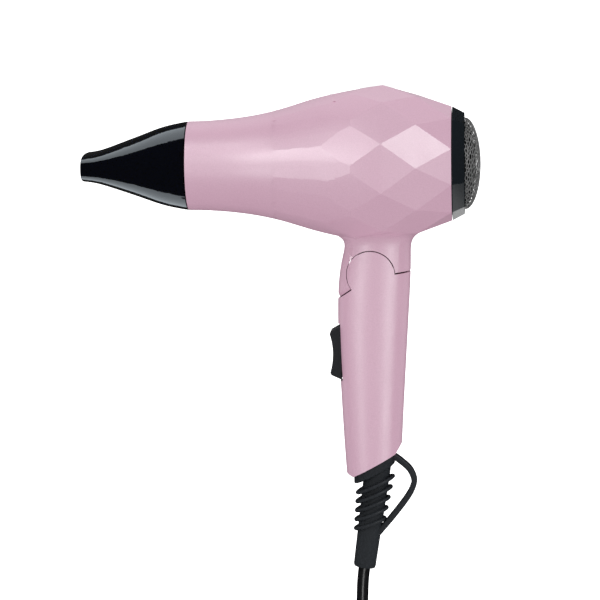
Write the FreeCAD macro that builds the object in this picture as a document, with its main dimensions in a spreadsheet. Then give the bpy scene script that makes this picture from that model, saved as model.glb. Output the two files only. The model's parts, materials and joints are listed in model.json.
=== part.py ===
import FreeCAD, Part
import math
import os
import Sketcher
from FreeCAD import Matrix, Placement, Rotation, Vector

# Folding hair dryer, in millimetres. +Z is up, the nozzle points towards -X and the air inlet
# towards +X. The origin is the middle of the hand grip, on the handle's own axis. The handle hangs
# from a hinge along Y, and the barrel with its neck folds down over the front of the handle.

doc = FreeCAD.newDocument("hair_dryer")
sheet = doc.addObject("Spreadsheet::Sheet", "Sizes")

SIZES = [
    # hinge between the neck and the handle
    ("hinge_x", -1.4), ("hinge_z", 56.2), ("fold_deg", 80.0),
    ("disc_dia", 24.8), ("disc_gap", 0.3), ("cheek_y", 8.6),
    ("knuckle_dia", 21.0), ("knuckle_width", 15.8), ("pin_dia", 6.0), ("pin_len", 24.8),
    ("pin_gap", 0.05), ("washer_dia", 16.0), ("washer_thick", 0.5),
    ("front_seam_deg", 216.0), ("front_seam_gap", 0.45), ("rear_seam_deg", 4.5),
    ("rear_seam_gap", 0.8), ("tongue_dia", 39.8), ("tongue_gap", 0.35), ("floor_rise", 15.0),
    # grip: front, rear and half width of the section at seven heights
    ("grip_wall", 2.0),
    ("grip1_z", 90.0), ("grip1_front", -13.2), ("grip1_rear", 19.3), ("grip1_half", 14.8),
    ("grip2_z", 71.6), ("grip2_front", -14.9), ("grip2_rear", 19.2), ("grip2_half", 14.5),
    ("grip3_z", 58.0), ("grip3_front", -17.6), ("grip3_rear", 19.0), ("grip3_half", 14.5),
    ("grip4_z", 44.0), ("grip4_front", -18.8), ("grip4_rear", 18.3), ("grip4_half", 14.4),
    ("grip5_z", 15.0), ("grip5_front", -18.6), ("grip5_rear", 16.5), ("grip5_half", 13.8),
    ("grip6_z", -20.0), ("grip6_front", -17.0), ("grip6_rear", 14.4), ("grip6_half", 13.1),
    ("grip7_z", -56.0), ("grip7_front", -14.6), ("grip7_rear", 12.7), ("grip7_half", 12.3),
    ("toe_x", -11.7), ("toe_z", -49.8), ("heel_x", 10.5), ("heel_z", -37.7),
    # barrel: a round tube that swells into a band of flat diamonds
    ("barrel_rise", 56.3), ("barrel_wall", 2.0), ("facets", 10.0),
    ("front_x", -95.4), ("front_dia", 46.0), ("tube2_x", -75.0), ("tube2_dia", 48.0),
    ("tube3_x", -50.0), ("tube3_dia", 56.4), ("tube4_x", -31.0), ("tube4_dia", 67.8),
    ("tube5_x", -15.5), ("tube5_dia", 76.6), ("tube6_x", 0.0), ("tube6_dia", 84.4),
    ("ring_a_x", -12.7), ("ring_b_x", 5.4), ("ring_b_dia", 81.3), ("ring_c_x", 22.8),
    ("ring_d_x", 40.6), ("ring_d_dia", 59.0), ("facet_rise", 0.149),
    # outlet ring, collar and nozzle
    ("spigot_dia", 37.6), ("spigot_bore", 34.8), ("spigot_len", 10.6), ("collar_gap", 0.1),
    ("collar_wall", 1.3), ("nozzle_wall", 1.6), ("nozzle_len", 52.5), ("mouth_width", 52.0),
    ("mouth_height", 14.6), ("nozzle_gap", 0.6), ("pull_travel", 14.0),
    # heater
    ("sleeve_dia", 38.4), ("sleeve_wall", 0.4), ("mica_thick", 0.8), ("coil_wire_dia", 3.0),
    ("coil_dia", 34.0), ("coil_turns", 7.0), ("coil_pitch", 6.0),
    # fan housing, motor and fan
    ("duct_dia", 54.4), ("duct_wall", 1.3), ("duct_end_x", 35.0), ("vanes", 7.0),
    ("motor_dia", 24.4), ("motor_len", 31.0), ("motor_x", -18.0), ("shaft_dia", 2.0),
    ("shaft_gap", 0.05), ("fan_tip_gap", 0.6), ("fan_hub_dia", 17.0), ("fan_blades", 7.0),
    ("fan_x", 17.0), ("fan_len", 13.0),
    # rear ring and mesh
    ("rear_ring_gap", 0.3), ("rear_ring_len", 6.4), ("rear_ring_end_dia", 52.2),
    ("mesh_dia", 47.0), ("mesh_rise", 8.0), ("mesh_thick", 0.9), ("mesh_hole_dia", 2.6),
    # rocker switch
    ("rocker_z", 15.2), ("rocker_pivot_x", -12.5), ("rocker_len", 28.6), ("rocker_width", 11.0),
    ("rocker_stand", 4.9), ("rocker_gap", 0.6), ("switch_len", 24.0), ("switch_width", 10.0),
    # strain relief and cord
    ("relief_lean_deg", 8.1), ("relief_x", 0.1), ("relief_z", -51.6), ("relief_len", 47.7),
    ("relief_dia", 13.4), ("relief_end_dia", 11.4), ("rib_thick", 1.7), ("rib_pitch", 5.16),
    ("loop_thick", 3.0), ("loop_width", 6.5),
    ("cord_dia", 6.2), ("cord_gap", 0.1), ("ground_z", -186.0), ("coil_x", -92.0),
    ("coil_mean_dia", 74.0), ("tie_thick", 0.8), ("tie_width", 9.0), ("plug_x", -17.0),
    ("prong_dia", 4.8), ("prong_len", 19.0), ("prong_spacing", 19.0),
    ("plug_width", 35.0), ("plug_height", 24.0), ("plug_len", 52.0),
    # screws
    ("screw_dia", 2.4), ("screw_head_dia", 4.8), ("screw_head_len", 1.8), ("boss_dia", 6.4),
]

for row, (alias, value) in enumerate(SIZES, start=1):
    sheet.set(f"A{row}", alias.replace("_", " "))
    sheet.set(f"B{row}", str(value))
    sheet.setAlias(f"B{row}", alias)
doc.recompute()


def size(alias):
    return float(sheet.get(alias))


def value_of(expression):
    return float(sheet.evalExpression(expression))


X, Y, Z = Vector(1, 0, 0), Vector(0, 1, 0), Vector(0, 0, 1)
ALONG = {"X": Rotation(), "Y": Rotation(Z, 90), "Z": Rotation(Y, -90)}
parts = []

# Expressions that many pieces share.
HX = "Sizes.hinge_x"
HZ = "Sizes.hinge_z"
AXIS = "Sizes.hinge_z + Sizes.barrel_rise"
hinge = Vector(size("hinge_x"), 0, size("hinge_z"))
axis_z = size("hinge_z") + size("barrel_rise")
FAR = 400.0


# ---- ways of making a piece -------------------------------------------------------------------

def bind_place(piece, at, along="X"):
    """Puts a piece at three expressions, turned so that its X lies along the named axis."""
    piece.Placement = Placement(Vector(*(value_of(e) for e in at)), ALONG[along])
    for axis, expression in zip("xyz", at):
        piece.setExpression(f"Placement.Base.{axis}", expression)


def turned(name, outline, at, along="X"):
    """A lathe piece: outline holds (axial, radial) expressions, revolved about the sketch's X."""
    body = doc.addObject("PartDesign::Body", name)
    sketch = body.newObject("Sketcher::SketchObject", name + "_outline")
    plane = next(f for f in body.Origin.OriginFeatures if f.Role == "XY_Plane")
    sketch.AttachmentSupport = [(plane, "")]
    sketch.MapMode = "FlatFace"
    corners = [Vector(value_of(a), value_of(r), 0) for a, r in outline]
    count = len(corners)
    for i in range(count):
        sketch.addGeometry(Part.LineSegment(corners[i], corners[(i + 1) % count]), False)
    for i in range(count):
        sketch.addConstraint(Sketcher.Constraint("Coincident", i, 2, (i + 1) % count, 1))
    for i, pair in enumerate(outline):
        for kind, expression in zip(("DistanceX", "DistanceY"), pair):
            rule = Sketcher.Constraint(kind, -1, 1, i, 1, value_of(expression))
            number = sketch.addConstraint(rule)
            sketch.setExpression(f"Constraints[{number}]", expression)
    turn = body.newObject("PartDesign::Revolution", name + "_turn")
    turn.Profile = sketch
    turn.ReferenceAxis = (sketch, ["H_Axis"])
    turn.Angle = 360
    bind_place(body, at, along)
    return body


def rod(name, dia, length, at, along="X"):
    piece = doc.addObject("Part::Cylinder", name)
    piece.setExpression("Radius", f"({dia}) / 2")
    piece.setExpression("Height", length)
    for axis, expression in zip("xyz", at):
        piece.setExpression(f"Placement.Base.{axis}", expression)
    turn = {"X": Rotation(Y, 90), "Y": Rotation(X, -90), "Z": Rotation()}[along]
    piece.Placement = Placement(Vector(*(value_of(e) for e in at)), turn)
    return piece


def block(name, length, width, height, at):
    """A box centred in Y on its place, starting there in X and Z."""
    piece = doc.addObject("Part::Box", name)
    for prop, expression in zip(("Length", "Width", "Height"), (length, width, height)):
        piece.setExpression(prop, expression)
    x, y, z = at
    for axis, expression in zip("xyz", (x, f"({y}) - ({width}) / 2", z)):
        piece.setExpression(f"Placement.Base.{axis}", expression)
    return piece


def fuse(name, *pieces):
    joined = doc.addObject("Part::MultiFuse", name)
    joined.Shapes = list(pieces)
    return joined


def cut(name, base, *tools):
    piece = doc.addObject("Part::Cut", name)
    piece.Base = base
    piece.Tool = tools[0] if len(tools) == 1 else fuse(name + "_tools", *tools)
    return piece


def group(name, *pieces):
    set_of = doc.addObject("Part::Compound", name)
    set_of.Links = list(pieces)
    return set_of


def shaped(name, shape):
    piece = doc.addObject("Part::Feature", name)
    piece.Shape = shape
    return piece


def keep(label, piece):
    piece.Label = label
    parts.append(piece)
    return piece


# ---- shapes that the casing shares ---------------------------------------------------------------

def prism(points, half_width=60.0):
    """An outline in the XZ plane, drawn out along Y to both sides."""
    corners = [Vector(x, -half_width, z) for x, z in points]
    face = Part.Face(Part.makePolygon(corners + corners[:1]))
    return face.extrude(Vector(0, 2 * half_width, 0))


def hinge_rod(radius, half_width, inner=0.0):
    rod_shape = Part.makeCylinder(radius, 2 * half_width, hinge - Y * half_width, Y)
    if inner:
        rod_shape = rod_shape.cut(Part.makeCylinder(inner, 2 * half_width, hinge - Y * half_width, Y))
    return rod_shape


def barrel_rod(radius, start, end):
    return Part.makeCylinder(radius, end - start, Vector(start, 0, axis_z), X)


def polar(angle_deg, radius):
    """A point of the XZ plane about the hinge."""
    angle = math.radians(angle_deg)
    return hinge.x + radius * math.cos(angle), hinge.z + radius * math.sin(angle)


def grip_section(z, front, rear, half):
    """One level of the grip: a nose, a back and two gently bowed sides, as four arcs."""
    depth = rear - front
    nose_x, back_x = front + 0.145 * depth, rear - 0.168 * depth
    nose_y, back_y = 0.752 * half, 0.80 * half
    middle = (nose_x + back_x) / 2

    def at(x, y):
        return Vector(x, y, z)

    arcs = [
        Part.Arc(at(nose_x, -nose_y), at(middle, -half), at(back_x, -back_y)),
        Part.Arc(at(back_x, -back_y), at(rear, 0), at(back_x, back_y)),
        Part.Arc(at(back_x, back_y), at(middle, half), at(nose_x, nose_y)),
        Part.Arc(at(nose_x, nose_y), at(front, 0), at(nose_x, -nose_y)),
    ]
    return Part.Wire([arc.toShape() for arc in arcs])


GRIP = [[size(f"grip{i}_{word}") for word in ("z", "front", "rear", "half")] for i in range(1, 8)]


def grip_solid(inset):
    levels = [grip_section(z, f + inset, r - inset, h - inset) for z, f, r, h in GRIP]
    return Part.makeLoft(levels, True, False)


def grip_level(z):
    """Front, rear and half width of the grip at any height, on a smooth curve through the levels."""
    last = len(GRIP) - 1
    i = next((n for n in range(1, last) if z >= GRIP[n][0]), last) - 1
    before, upper, lower, after = (GRIP[min(max(n, 0), last)] for n in (i - 1, i, i + 1, i + 2))
    span = upper[0] - lower[0]
    share = min(max((upper[0] - z) / span, 0.0), 1.0)
    values = []
    for k in (1, 2, 3):
        slope_up = (lower[k] - before[k]) / (before[0] - lower[0]) * span
        slope_low = (after[k] - upper[k]) / (upper[0] - after[0]) * span
        rise = lower[k] - upper[k]
        bend = share * (1 - share)
        values.append(upper[k] + rise * share + bend * ((1 - share) * (slope_up - rise)
                                                         - share * (slope_low - rise)))
    return values


# The neck flares where it runs into the barrel. Each level gives its distance below the barrel's axis
# and how far the front, the rear and the sides have grown there.
FLARE = [
    (32.0, 6.0, 6.9, 4.5), (34.2, 6.0, 6.6, 4.1), (35.2, 5.9, 5.4, 2.7), (36.2, 5.4, 3.6, 1.6),
    (37.3, 4.0, 2.2, 0.9), (38.2, 2.3, 1.5, 0.6), (39.2, 1.25, 0.9, 0.35), (40.6, 0.5, 0.4, 0.15),
    (42.4, 0.1, 0.1, 0.05), (44.5, 0.0, 0.0, 0.0), (47.5, 0.0, 0.0, 0.0), (51.0, 0.0, 0.0, 0.0),
    (55.0, 0.0, 0.0, 0.0), (59.0, 0.0, 0.0, 0.0), (64.0, 0.0, 0.0, 0.0), (70.0, 0.0, 0.0, 0.0),
    (78.0, 0.0, 0.0, 0.0),
]


def neck_solid():
    sections = []
    for drop, to_front, to_rear, to_side in FLARE:
        front, rear, half = grip_level(axis_z - drop)
        sections.append(grip_section(axis_z - drop, front - to_front, rear + to_rear, half + to_side))
    return Part.makeLoft(sections, True, True)


def grip_half_at(x, z):
    """Half width of the grip at a point of the XZ plane near its nose."""
    front, rear, half = grip_level(z)
    depth = rear - front
    sagitta, chord = 0.145 * depth, 0.752 * half
    radius = (sagitta ** 2 + chord ** 2) / (2 * sagitta)
    if x < front + sagitta:
        return math.sqrt(max(radius ** 2 - (front + radius - x) ** 2, 0.0))
    rise = half - 0.776 * half
    run = 0.3435 * depth
    side = (run ** 2 + rise ** 2) / (2 * rise)
    return half - side + math.sqrt(side ** 2 - (x - (front + rear) / 2) ** 2)


grip_outer = grip_solid(0.0)
grip_inner = grip_solid(size("grip_wall"))

# The tongue is the front of the neck below the fold line. It is round about the hinge, so that it
# passes inside the handle when the dryer folds; its half width follows the handle's wall there.
TONGUE_WALL = 1.4
tongue_r = size("tongue_dia") / 2
disc_r = size("disc_dia") / 2
pocket_r = disc_r + size("disc_gap")


def tongue_half(radius, gap):
    x, z = polar(size("front_seam_deg"), radius)
    return max(grip_half_at(x, z) - TONGUE_WALL + gap, 1.2 + gap)


def tongue_solid(gap):
    """Round body about the hinge from the disc's pocket out to the tongue's edge."""
    steps = 6
    inner_r = pocket_r - 0.8 * gap
    radii = [inner_r + (tongue_r - inner_r) * i / steps for i in range(steps + 1)]
    upper = [(r, tongue_half(r, gap)) for r in radii]
    upper[-1] = (tongue_r + gap, upper[-1][1])
    outline = upper + [(r, -y) for r, y in reversed(upper)]
    corners = [hinge + Vector(r, y, 0) for r, y in outline]
    return Part.Face(Part.makePolygon(corners + corners[:1])).revolve(hinge, Y, 360)


def sector(start_deg, end_deg, radius=90.0):
    """A wedge about the hinge, seen from the side, with angles counted from +X towards +Z."""
    steps = max(1, math.ceil((end_deg - start_deg) / 60))
    rim = [polar(start_deg + (end_deg - start_deg) * i / steps, radius) for i in range(steps + 1)]
    return prism([(hinge.x, hinge.z)] + rim)


fold_line_deg = size("front_seam_deg") - size("fold_deg") - 1.0
rear_slope = math.tan(math.radians(size("rear_seam_deg")))
front_slope = math.tan(math.radians(size("front_seam_deg") - 180))
REAR_SEAM_DROP = 0.0
REACH = 32.0


def rear_seam(drop):
    return [(hinge.x, hinge.z - REAR_SEAM_DROP - drop),
            (hinge.x + REACH, hinge.z - REAR_SEAM_DROP - drop + REACH * rear_slope)]


def front_seam(drop):
    return [(hinge.x - REACH, hinge.z - drop - REACH * front_slope)]


neck_area = prism(rear_seam(0) + [(hinge.x + REACH, FAR), (hinge.x - REACH, FAR)] + front_seam(0))


def handle_area(rise):
    """The side view of the handle; rise lifts its slanted bottom, for the hollow inside."""
    bottom = [
        (hinge.x + REACH, size("heel_z") + 8.0), (size("heel_x") + 3.3, size("heel_z") + 5.2),
        (size("heel_x"), size("heel_z")), (size("toe_x"), size("toe_z")),
        (size("toe_x") - 3.6, size("toe_z") + 1.4), (hinge.x - REACH, size("toe_z") + 3.0),
    ]
    lifted = [(x, z + rise) for x, z in bottom]
    return prism(rear_seam(size("rear_seam_gap")) + lifted + front_seam(size("front_seam_gap")))


rear_notch = prism([(hinge.x + 19.8, hinge.z + 1.1), (hinge.x + 24, hinge.z + 4.4),
                    (hinge.x + 24, hinge.z - 1.8)])


# ---- barrel casing ---------------------------------------------------------------------------------

facets = int(size("facets"))
half_step = math.pi / facets
ring_b_r = size("ring_b_dia") / 2
ring_d_r = size("ring_d_dia") / 2
fall = (ring_b_r - ring_d_r) / (size("ring_d_x") - size("ring_b_x"))
ring_c_flat = ring_b_r - fall * (size("ring_c_x") - size("ring_b_x"))
ring_a_flat = ring_b_r - size("facet_rise") * (size("ring_b_x") - size("ring_a_x"))
lead_x = size("front_x") - 10.0
lead_flat = ring_b_r - size("facet_rise") * (size("ring_b_x") - lead_x)
cos_half = math.cos(half_step)


def ring_point(x, radius, step):
    """A corner of the faceted band; step counts half facets round from the top."""
    angle = math.pi / 2 + step * half_step
    return Vector(x, radius * math.cos(angle), axis_z + radius * math.sin(angle))


def faceted_band():
    faces = []

    def face(*corners):
        faces.append(Part.Face(Part.makePolygon(list(corners) + [corners[0]])))

    def a(step):
        return ring_point(size("ring_a_x"), ring_a_flat / cos_half, step)

    def b(step):
        return ring_point(size("ring_b_x"), ring_b_r, step)

    def c(step):
        return ring_point(size("ring_c_x"), ring_c_flat / cos_half, step)

    def d(step):
        return ring_point(size("ring_d_x"), ring_d_r, step)

    def lead(step):
        return ring_point(lead_x, lead_flat / cos_half, step)

    for k in range(0, 2 * facets, 2):
        face(b(k), c(k - 1), d(k), c(k + 1))
        face(c(k + 1), d(k), d(k + 2))
        face(b(k), b(k + 2), c(k + 1))
        face(b(k), b(k + 2), a(k + 1))
        face(b(k), a(k + 1), lead(k + 1), lead(k - 1), a(k - 1))
    face(*[lead(k + 1) for k in range(0, 2 * facets, 2)])
    face(*[d(k) for k in range(0, 2 * facets, 2)])
    return Part.makeSolid(Part.makeShell(faces))


def tube_edge(inset, last):
    points = [Vector(size("front_x"), size("front_dia") / 2 - inset, 0)]
    points += [Vector(size(f"tube{i}_x"), size(f"tube{i}_dia") / 2 - inset, 0) for i in range(2, last)]
    curve = Part.BSplineCurve()
    curve.interpolate(points)
    return curve.toShape(), points[0], points[-1]


def revolve_under(edge, first, last, rest):
    """Revolves a curved outline and the straight ones after it about the barrel's axis."""
    corners = [last] + [Vector(x, r, 0) for x, r in rest] + [Vector(first.x, 0, 0), first]
    lines = [Part.makeLine(p, q) for p, q in zip(corners, corners[1:])]
    solid = Part.Face(Part.Wire([edge] + lines)).revolve(Vector(0, 0, 0), X, 360)
    solid.translate(Vector(0, 0, axis_z))
    return solid


end_x = size("ring_d_x")
wall = size("barrel_wall")
barrel_outer = revolve_under(*tube_edge(0.0, 7), [(end_x, size("tube6_dia") / 2), (end_x, 0)])
barrel_outer = barrel_outer.common(faceted_band())

skin_a = ring_a_flat - wall - 0.3
skin_b = ring_b_r * cos_half - wall
skin_c = ring_c_flat - wall
skin_d = ring_d_r * cos_half - wall
lip_x = end_x - 2.0
lip_r = skin_d
inner_rest = [
    (size("ring_a_x"), skin_a), (size("ring_b_x"), skin_b), (size("ring_c_x"), skin_c),
    (lip_x, skin_d + (skin_c - skin_d) * 2.0 / (end_x - size("ring_c_x"))), (lip_x, lip_r),
    (end_x + 1, lip_r), (end_x + 1, 0),
]
barrel_inner = revolve_under(*tube_edge(wall, 5), inner_rest)


def inner_r(x):
    """Radius of the barrel's inside behind the heater."""
    corners = [(size("tube4_x"), size("tube4_dia") / 2 - wall)] + inner_rest[:4]
    for (x1, r1), (x2, r2) in zip(corners, corners[1:]):
        if x1 <= x <= x2:
            return r1 + (r2 - r1) * (x - x1) / (x2 - x1)
    return lip_r


# Places along the barrel that more than one piece uses.
front_lip_r = size("front_dia") / 2 - wall - 0.8
seat_r = size("front_dia") / 2 - wall
seat_end_x = size("front_x") + 11.5
flange_x = 20.4
FLANGE_THICK = 1.8
RIB_THICK = 1.0

front_lip = barrel_rod(seat_r + 1.2, size("front_x"), size("front_x") + 1.6)
front_lip = front_lip.cut(barrel_rod(front_lip_r, size("front_x") - 1, size("front_x") + 3))
front_rib = barrel_rod(seat_r + 1.2, seat_end_x, seat_end_x + 1.5)
front_rib = front_rib.cut(barrel_rod(size("sleeve_dia") / 2 + 0.4, seat_end_x - 1, seat_end_x + 3))


def housing_rib(x):
    outer = barrel_rod(inner_r(x + RIB_THICK / 2) + 1.0, x, x + RIB_THICK)
    return outer.cut(barrel_rod(inner_r(flange_x) - 2.6, x - 1, x + RIB_THICK + 1))


ribs = [front_lip, front_rib, housing_rib(flange_x - RIB_THICK - 0.1),
        housing_rib(flange_x + FLANGE_THICK + 0.1)]

floor_z = hinge.z + size("floor_rise")
boss_r = size("boss_dia") / 2
NECK_SCREWS = [(-9.0, floor_z + 6.5), (13.5, floor_z + 6.5)]
HANDLE_SCREWS = [(9.5, 28.5), (8.5, -9.0)]
WIRE_Y = 3.0
wire_x = hinge.x + 8.0


def boss(x, z):
    return Part.makeCylinder(boss_r, 25.0, Vector(x, -12.5, z), Y)


def screw_hole(x, z):
    """Through the right half with room for the head, and blind in the left half."""
    shank = Part.makeCylinder(size("screw_dia") / 2 + 0.1, 18.0, Vector(x, -9.8, z), Y)
    head = Part.makeCylinder(size("screw_head_dia") / 2 + 0.3, 20.0, Vector(x, 6.0, z), Y)
    return shank.fuse(head)


neck_outer = neck_solid().common(neck_area)
front_wedge = sector(fold_line_deg, size("front_seam_deg") + 4)
tongue = neck_outer.common(front_wedge).common(tongue_solid(0.0))
neck_static = neck_outer.cut(front_wedge.cut(hinge_rod(pocket_r - 0.05, 60)))
neck_static = neck_static.cut(hinge_rod(pocket_r, 60))
neck_hollow = grip_inner.common(prism([(-60, floor_z), (60, floor_z), (60, 200), (-60, 200)]))

knuckle_r = size("knuckle_dia") / 2
knuckle_half = size("knuckle_width") / 2
knuckle = hinge_rod(knuckle_r, knuckle_half)
web = Part.makeBox(16.0, 2 * knuckle_half, size("floor_rise"),
                   Vector(hinge.x - 8.0, -knuckle_half, hinge.z))
pin_bore = hinge_rod(size("pin_dia") / 2 + size("pin_gap"), 30)

barrel_shape = barrel_outer.fuse([neck_static, tongue, knuckle, web])
barrel_shape = barrel_shape.cut([barrel_inner, neck_hollow])
barrel_shape = barrel_shape.fuse(ribs)
neck_room = grip_outer.common(prism([(-60, floor_z), (60, floor_z), (60, axis_z - 30), (-60, axis_z - 30)]))
barrel_shape = barrel_shape.fuse([boss(x, z).common(neck_room) for x, z in NECK_SCREWS])
holes = [screw_hole(x, z) for x, z in NECK_SCREWS]
holes += [Part.makeCylinder(1.3, 12.0, Vector(wire_x, y, hinge.z + 9.0), Z) for y in (-WIRE_Y, WIRE_Y)]
barrel_shape = barrel_shape.cut(holes + [pin_bore, rear_notch])

left_side = Part.makeBox(FAR, FAR, FAR, Vector(-FAR / 2, -FAR, -FAR / 2))
right_side = Part.makeBox(FAR, FAR, FAR, Vector(-FAR / 2, 0, -FAR / 2))
keep("barrel_left", shaped("barrel_left", barrel_shape.common(left_side)))
keep("barrel_right", shaped("barrel_right", barrel_shape.common(right_side)))


# ---- handle casing -----------------------------------------------------------------------------------

def relief_axis(z):
    """The strain relief's axis leans forward; its X at a height."""
    lean = math.tan(math.radians(size("relief_lean_deg")))
    return size("relief_x") + lean * (z - size("relief_z"))


lean_rad = math.radians(size("relief_lean_deg"))
down = Vector(-math.sin(lean_rad), 0, -math.cos(lean_rad))


def relief_cone(top_z, bottom_z, top_dia, bottom_dia):
    start = Vector(relief_axis(top_z), 0, top_z)
    length = (top_z - bottom_z) / math.cos(lean_rad)
    if abs(top_dia - bottom_dia) < 1e-6:
        return Part.makeCylinder(top_dia / 2, length, start, down)
    return Part.makeCone(top_dia / 2, bottom_dia / 2, length, start, down)


FLOOR_THICK = 2.6
SADDLE_Z = -30.0
SADDLE_TALL = 6.0
CLAMP_SCREW_Y = 4.9
cord_r = size("cord_dia") / 2
cord_side = cord_r / math.cos(lean_rad)
saddle_x = relief_axis(SADDLE_Z) - cord_side - 0.1
clamp_x = relief_axis(SADDLE_Z + SADDLE_TALL - 0.8) + cord_side + 0.1
clamp_z = SADDLE_Z + SADDLE_TALL / 2
cheeks = hinge_rod(disc_r, 20).cut(hinge_rod(disc_r + 1, size("cheek_y")))
handle_outer = grip_outer.common(handle_area(0.0).fuse(hinge_rod(disc_r, 30)))
handle_outer = handle_outer.cut(hinge_rod(pocket_r + 0.2, size("cheek_y")))
handle_hollow = grip_inner.common(handle_area(FLOOR_THICK).fuse(hinge_rod(disc_r, 30))).cut(cheeks)
sweep = tongue_solid(size("tongue_gap")).common(sector(180, 312))
handle_shape = handle_outer.cut([handle_hollow, sweep, rear_notch])

slot_len = size("rocker_len") + 2 * size("rocker_gap")
slot = Part.makeBox(12.0, size("rocker_width") + 0.8, slot_len,
                    Vector(-25.0, -size("rocker_width") / 2 - 0.4, size("rocker_z") - slot_len / 2))
switch_back_x = size("rocker_pivot_x") + 12.0
rib_box = [Part.makeBox(8.0, 9.0, 1.6, Vector(switch_back_x - 8.5, side, z))
           for z in (size("rocker_z") - 7, size("rocker_z") + 5)
           for side in (size("switch_width") / 2 + 0.15, -size("switch_width") / 2 - 9.15)]
saddle = Part.makeBox(saddle_x + 11.0, 30.0, SADDLE_TALL, Vector(-11.0, -15.0, SADDLE_Z))
inside_features = [boss(x, z) for x, z in HANDLE_SCREWS] + rib_box + [saddle]
grip_mid = grip_solid(0.6)
handle_shape = handle_shape.fuse([f.common(grip_mid) for f in inside_features])
relief_hole = relief_cone(-30.0, -60.0, 10.6, 10.6).cut(saddle)
saddle_holes = [Part.makeCylinder(size("screw_dia") / 2 + 0.1, 8.0, Vector(saddle_x - 7.0, y, clamp_z), X)
                for y in (-CLAMP_SCREW_Y, CLAMP_SCREW_Y)]
holes = [screw_hole(x, z) for x, z in HANDLE_SCREWS] + saddle_holes
pin_hole = hinge_rod(size("pin_dia") / 2 + size("pin_gap"), size("pin_len") / 2 + 0.1)
handle_shape = handle_shape.cut(holes + [slot, relief_hole, pin_hole])
keep("handle_left", shaped("handle_left", handle_shape.common(left_side)))
keep("handle_right", shaped("handle_right", handle_shape.common(right_side)))


# ---- hinge -----------------------------------------------------------------------------------------

def ring(name, inner_dia, outer_dia, start, end, at, along="X"):
    outline = [(start, f"({inner_dia}) / 2"), (start, f"({outer_dia}) / 2"),
               (end, f"({outer_dia}) / 2"), (end, f"({inner_dia}) / 2")]
    return turned(name, outline, at, along)


HINGE_AT = (HX, "0", HZ)
PIN_END = "Sizes.pin_len / 2"
pin_outline = [
    (f"-{PIN_END}", "0"), (f"-{PIN_END}", "Sizes.pin_dia / 2 - 0.5"),
    (f"0.5 - {PIN_END}", "Sizes.pin_dia / 2"), (f"{PIN_END} - 0.5", "Sizes.pin_dia / 2"),
    (PIN_END, "Sizes.pin_dia / 2 - 0.5"), (PIN_END, "0"),
]
keep("hinge_pin", turned("hinge_pin", pin_outline, HINGE_AT, "Y"))
washer_bore = "Sizes.pin_dia + 0.4"
washers = []
for side in (-1, 1):
    mid = f"({side}) * (Sizes.knuckle_width / 2 + Sizes.cheek_y) / 2"
    washers.append(ring(f"washer{side + 2}", washer_bore, "Sizes.washer_dia",
                        f"{mid} - Sizes.washer_thick / 2", f"{mid} + Sizes.washer_thick / 2",
                        HINGE_AT, "Y"))
keep("friction_washers", group("friction_washers", *washers))


# ---- outlet ring, collar and nozzle ------------------------------------------------------------------

BARREL_AT = ("0", "0", AXIS)
FX = "Sizes.front_x"
LIP_R = "Sizes.front_dia / 2 - Sizes.barrel_wall - 0.8"
SEAT_R = "Sizes.front_dia / 2 - Sizes.barrel_wall"
SPIGOT_R = "Sizes.spigot_dia / 2"
BORE_R = "Sizes.spigot_bore / 2"
SLEEVE_R = "Sizes.sleeve_dia / 2"
outlet_outline = [
    (f"{FX} - Sizes.spigot_len", BORE_R), (f"{FX} - Sizes.spigot_len", SPIGOT_R),
    (f"{FX} - 9.2", SPIGOT_R), (f"{FX} - 9.2", f"{SPIGOT_R} + 0.8"),
    (f"{FX} - 8.2", f"{SPIGOT_R} + 0.8"), (f"{FX} - 8.2", SPIGOT_R),
    (f"{FX} - 1.8", SPIGOT_R), (f"{FX} - 1.8", f"{LIP_R} - 0.2"),
    (f"{FX} + 1.7", f"{LIP_R} - 0.2"), (f"{FX} + 1.7", f"{SEAT_R} - 0.1"),
    (f"{FX} + 11.4", f"{SEAT_R} - 0.1"), (f"{FX} + 11.4", f"{SLEEVE_R} + 0.1"),
    (f"{FX} + 3.4", f"{SLEEVE_R} + 0.1"), (f"{FX} + 3.4", BORE_R),
]
outlet_tube = turned("outlet_tube", outlet_outline, BARREL_AT)
grille_rings = [ring(f"grille_ring{i}", f"{r * 2 - 1.2}", f"{r * 2 + 1.2}", f"{FX} - 4", f"{FX} - 2.2",
                     BARREL_AT) for i, r in enumerate((3.0, 8.0, 13.0))]
spokes = []
for i in range(3):
    bar_len = size("spigot_bore") + 0.6
    bar = Part.makeBox(1.8, bar_len, 1.2, Vector(size("front_x") - 4, -bar_len / 2, -0.6))
    bar.rotate(Vector(0, 0, 0), X, 60 * i)
    bar.translate(Vector(0, 0, axis_z))
    spokes.append(shaped(f"grille_spoke{i}", bar))
keep("outlet_ring", fuse("outlet_ring", outlet_tube, *grille_rings, *spokes))

keep("nozzle_collar", ring(
    "nozzle_collar", "Sizes.spigot_dia + 2 * Sizes.collar_gap",
    "Sizes.spigot_dia + 2 * Sizes.collar_gap + 2 * Sizes.collar_wall",
    f"{FX} - 8.0", f"{FX} - 2.0", BARREL_AT))


def flat_round(x, half_width, half_height, squareness):
    """A closed smooth outline across the barrel's axis, from round to flat with rounded ends."""
    points = []
    for i in range(24):
        angle = 2 * math.pi * i / 24
        c, s = math.cos(angle), math.sin(angle)
        y = math.copysign(abs(c) ** (2 / squareness), c) * half_width
        z = math.copysign(abs(s) ** (2 / squareness), s) * half_height
        points.append(Vector(x, y, axis_z + z))
    curve = Part.BSplineCurve()
    curve.interpolate(points, PeriodicFlag=True)
    return Part.Wire([curve.toShape()])


nozzle_back_x = size("front_x") - size("nozzle_gap")
nozzle_r = size("front_dia") / 2 - 0.1
mouth_w, mouth_h = size("mouth_width") / 2, size("mouth_height") / 2
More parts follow.
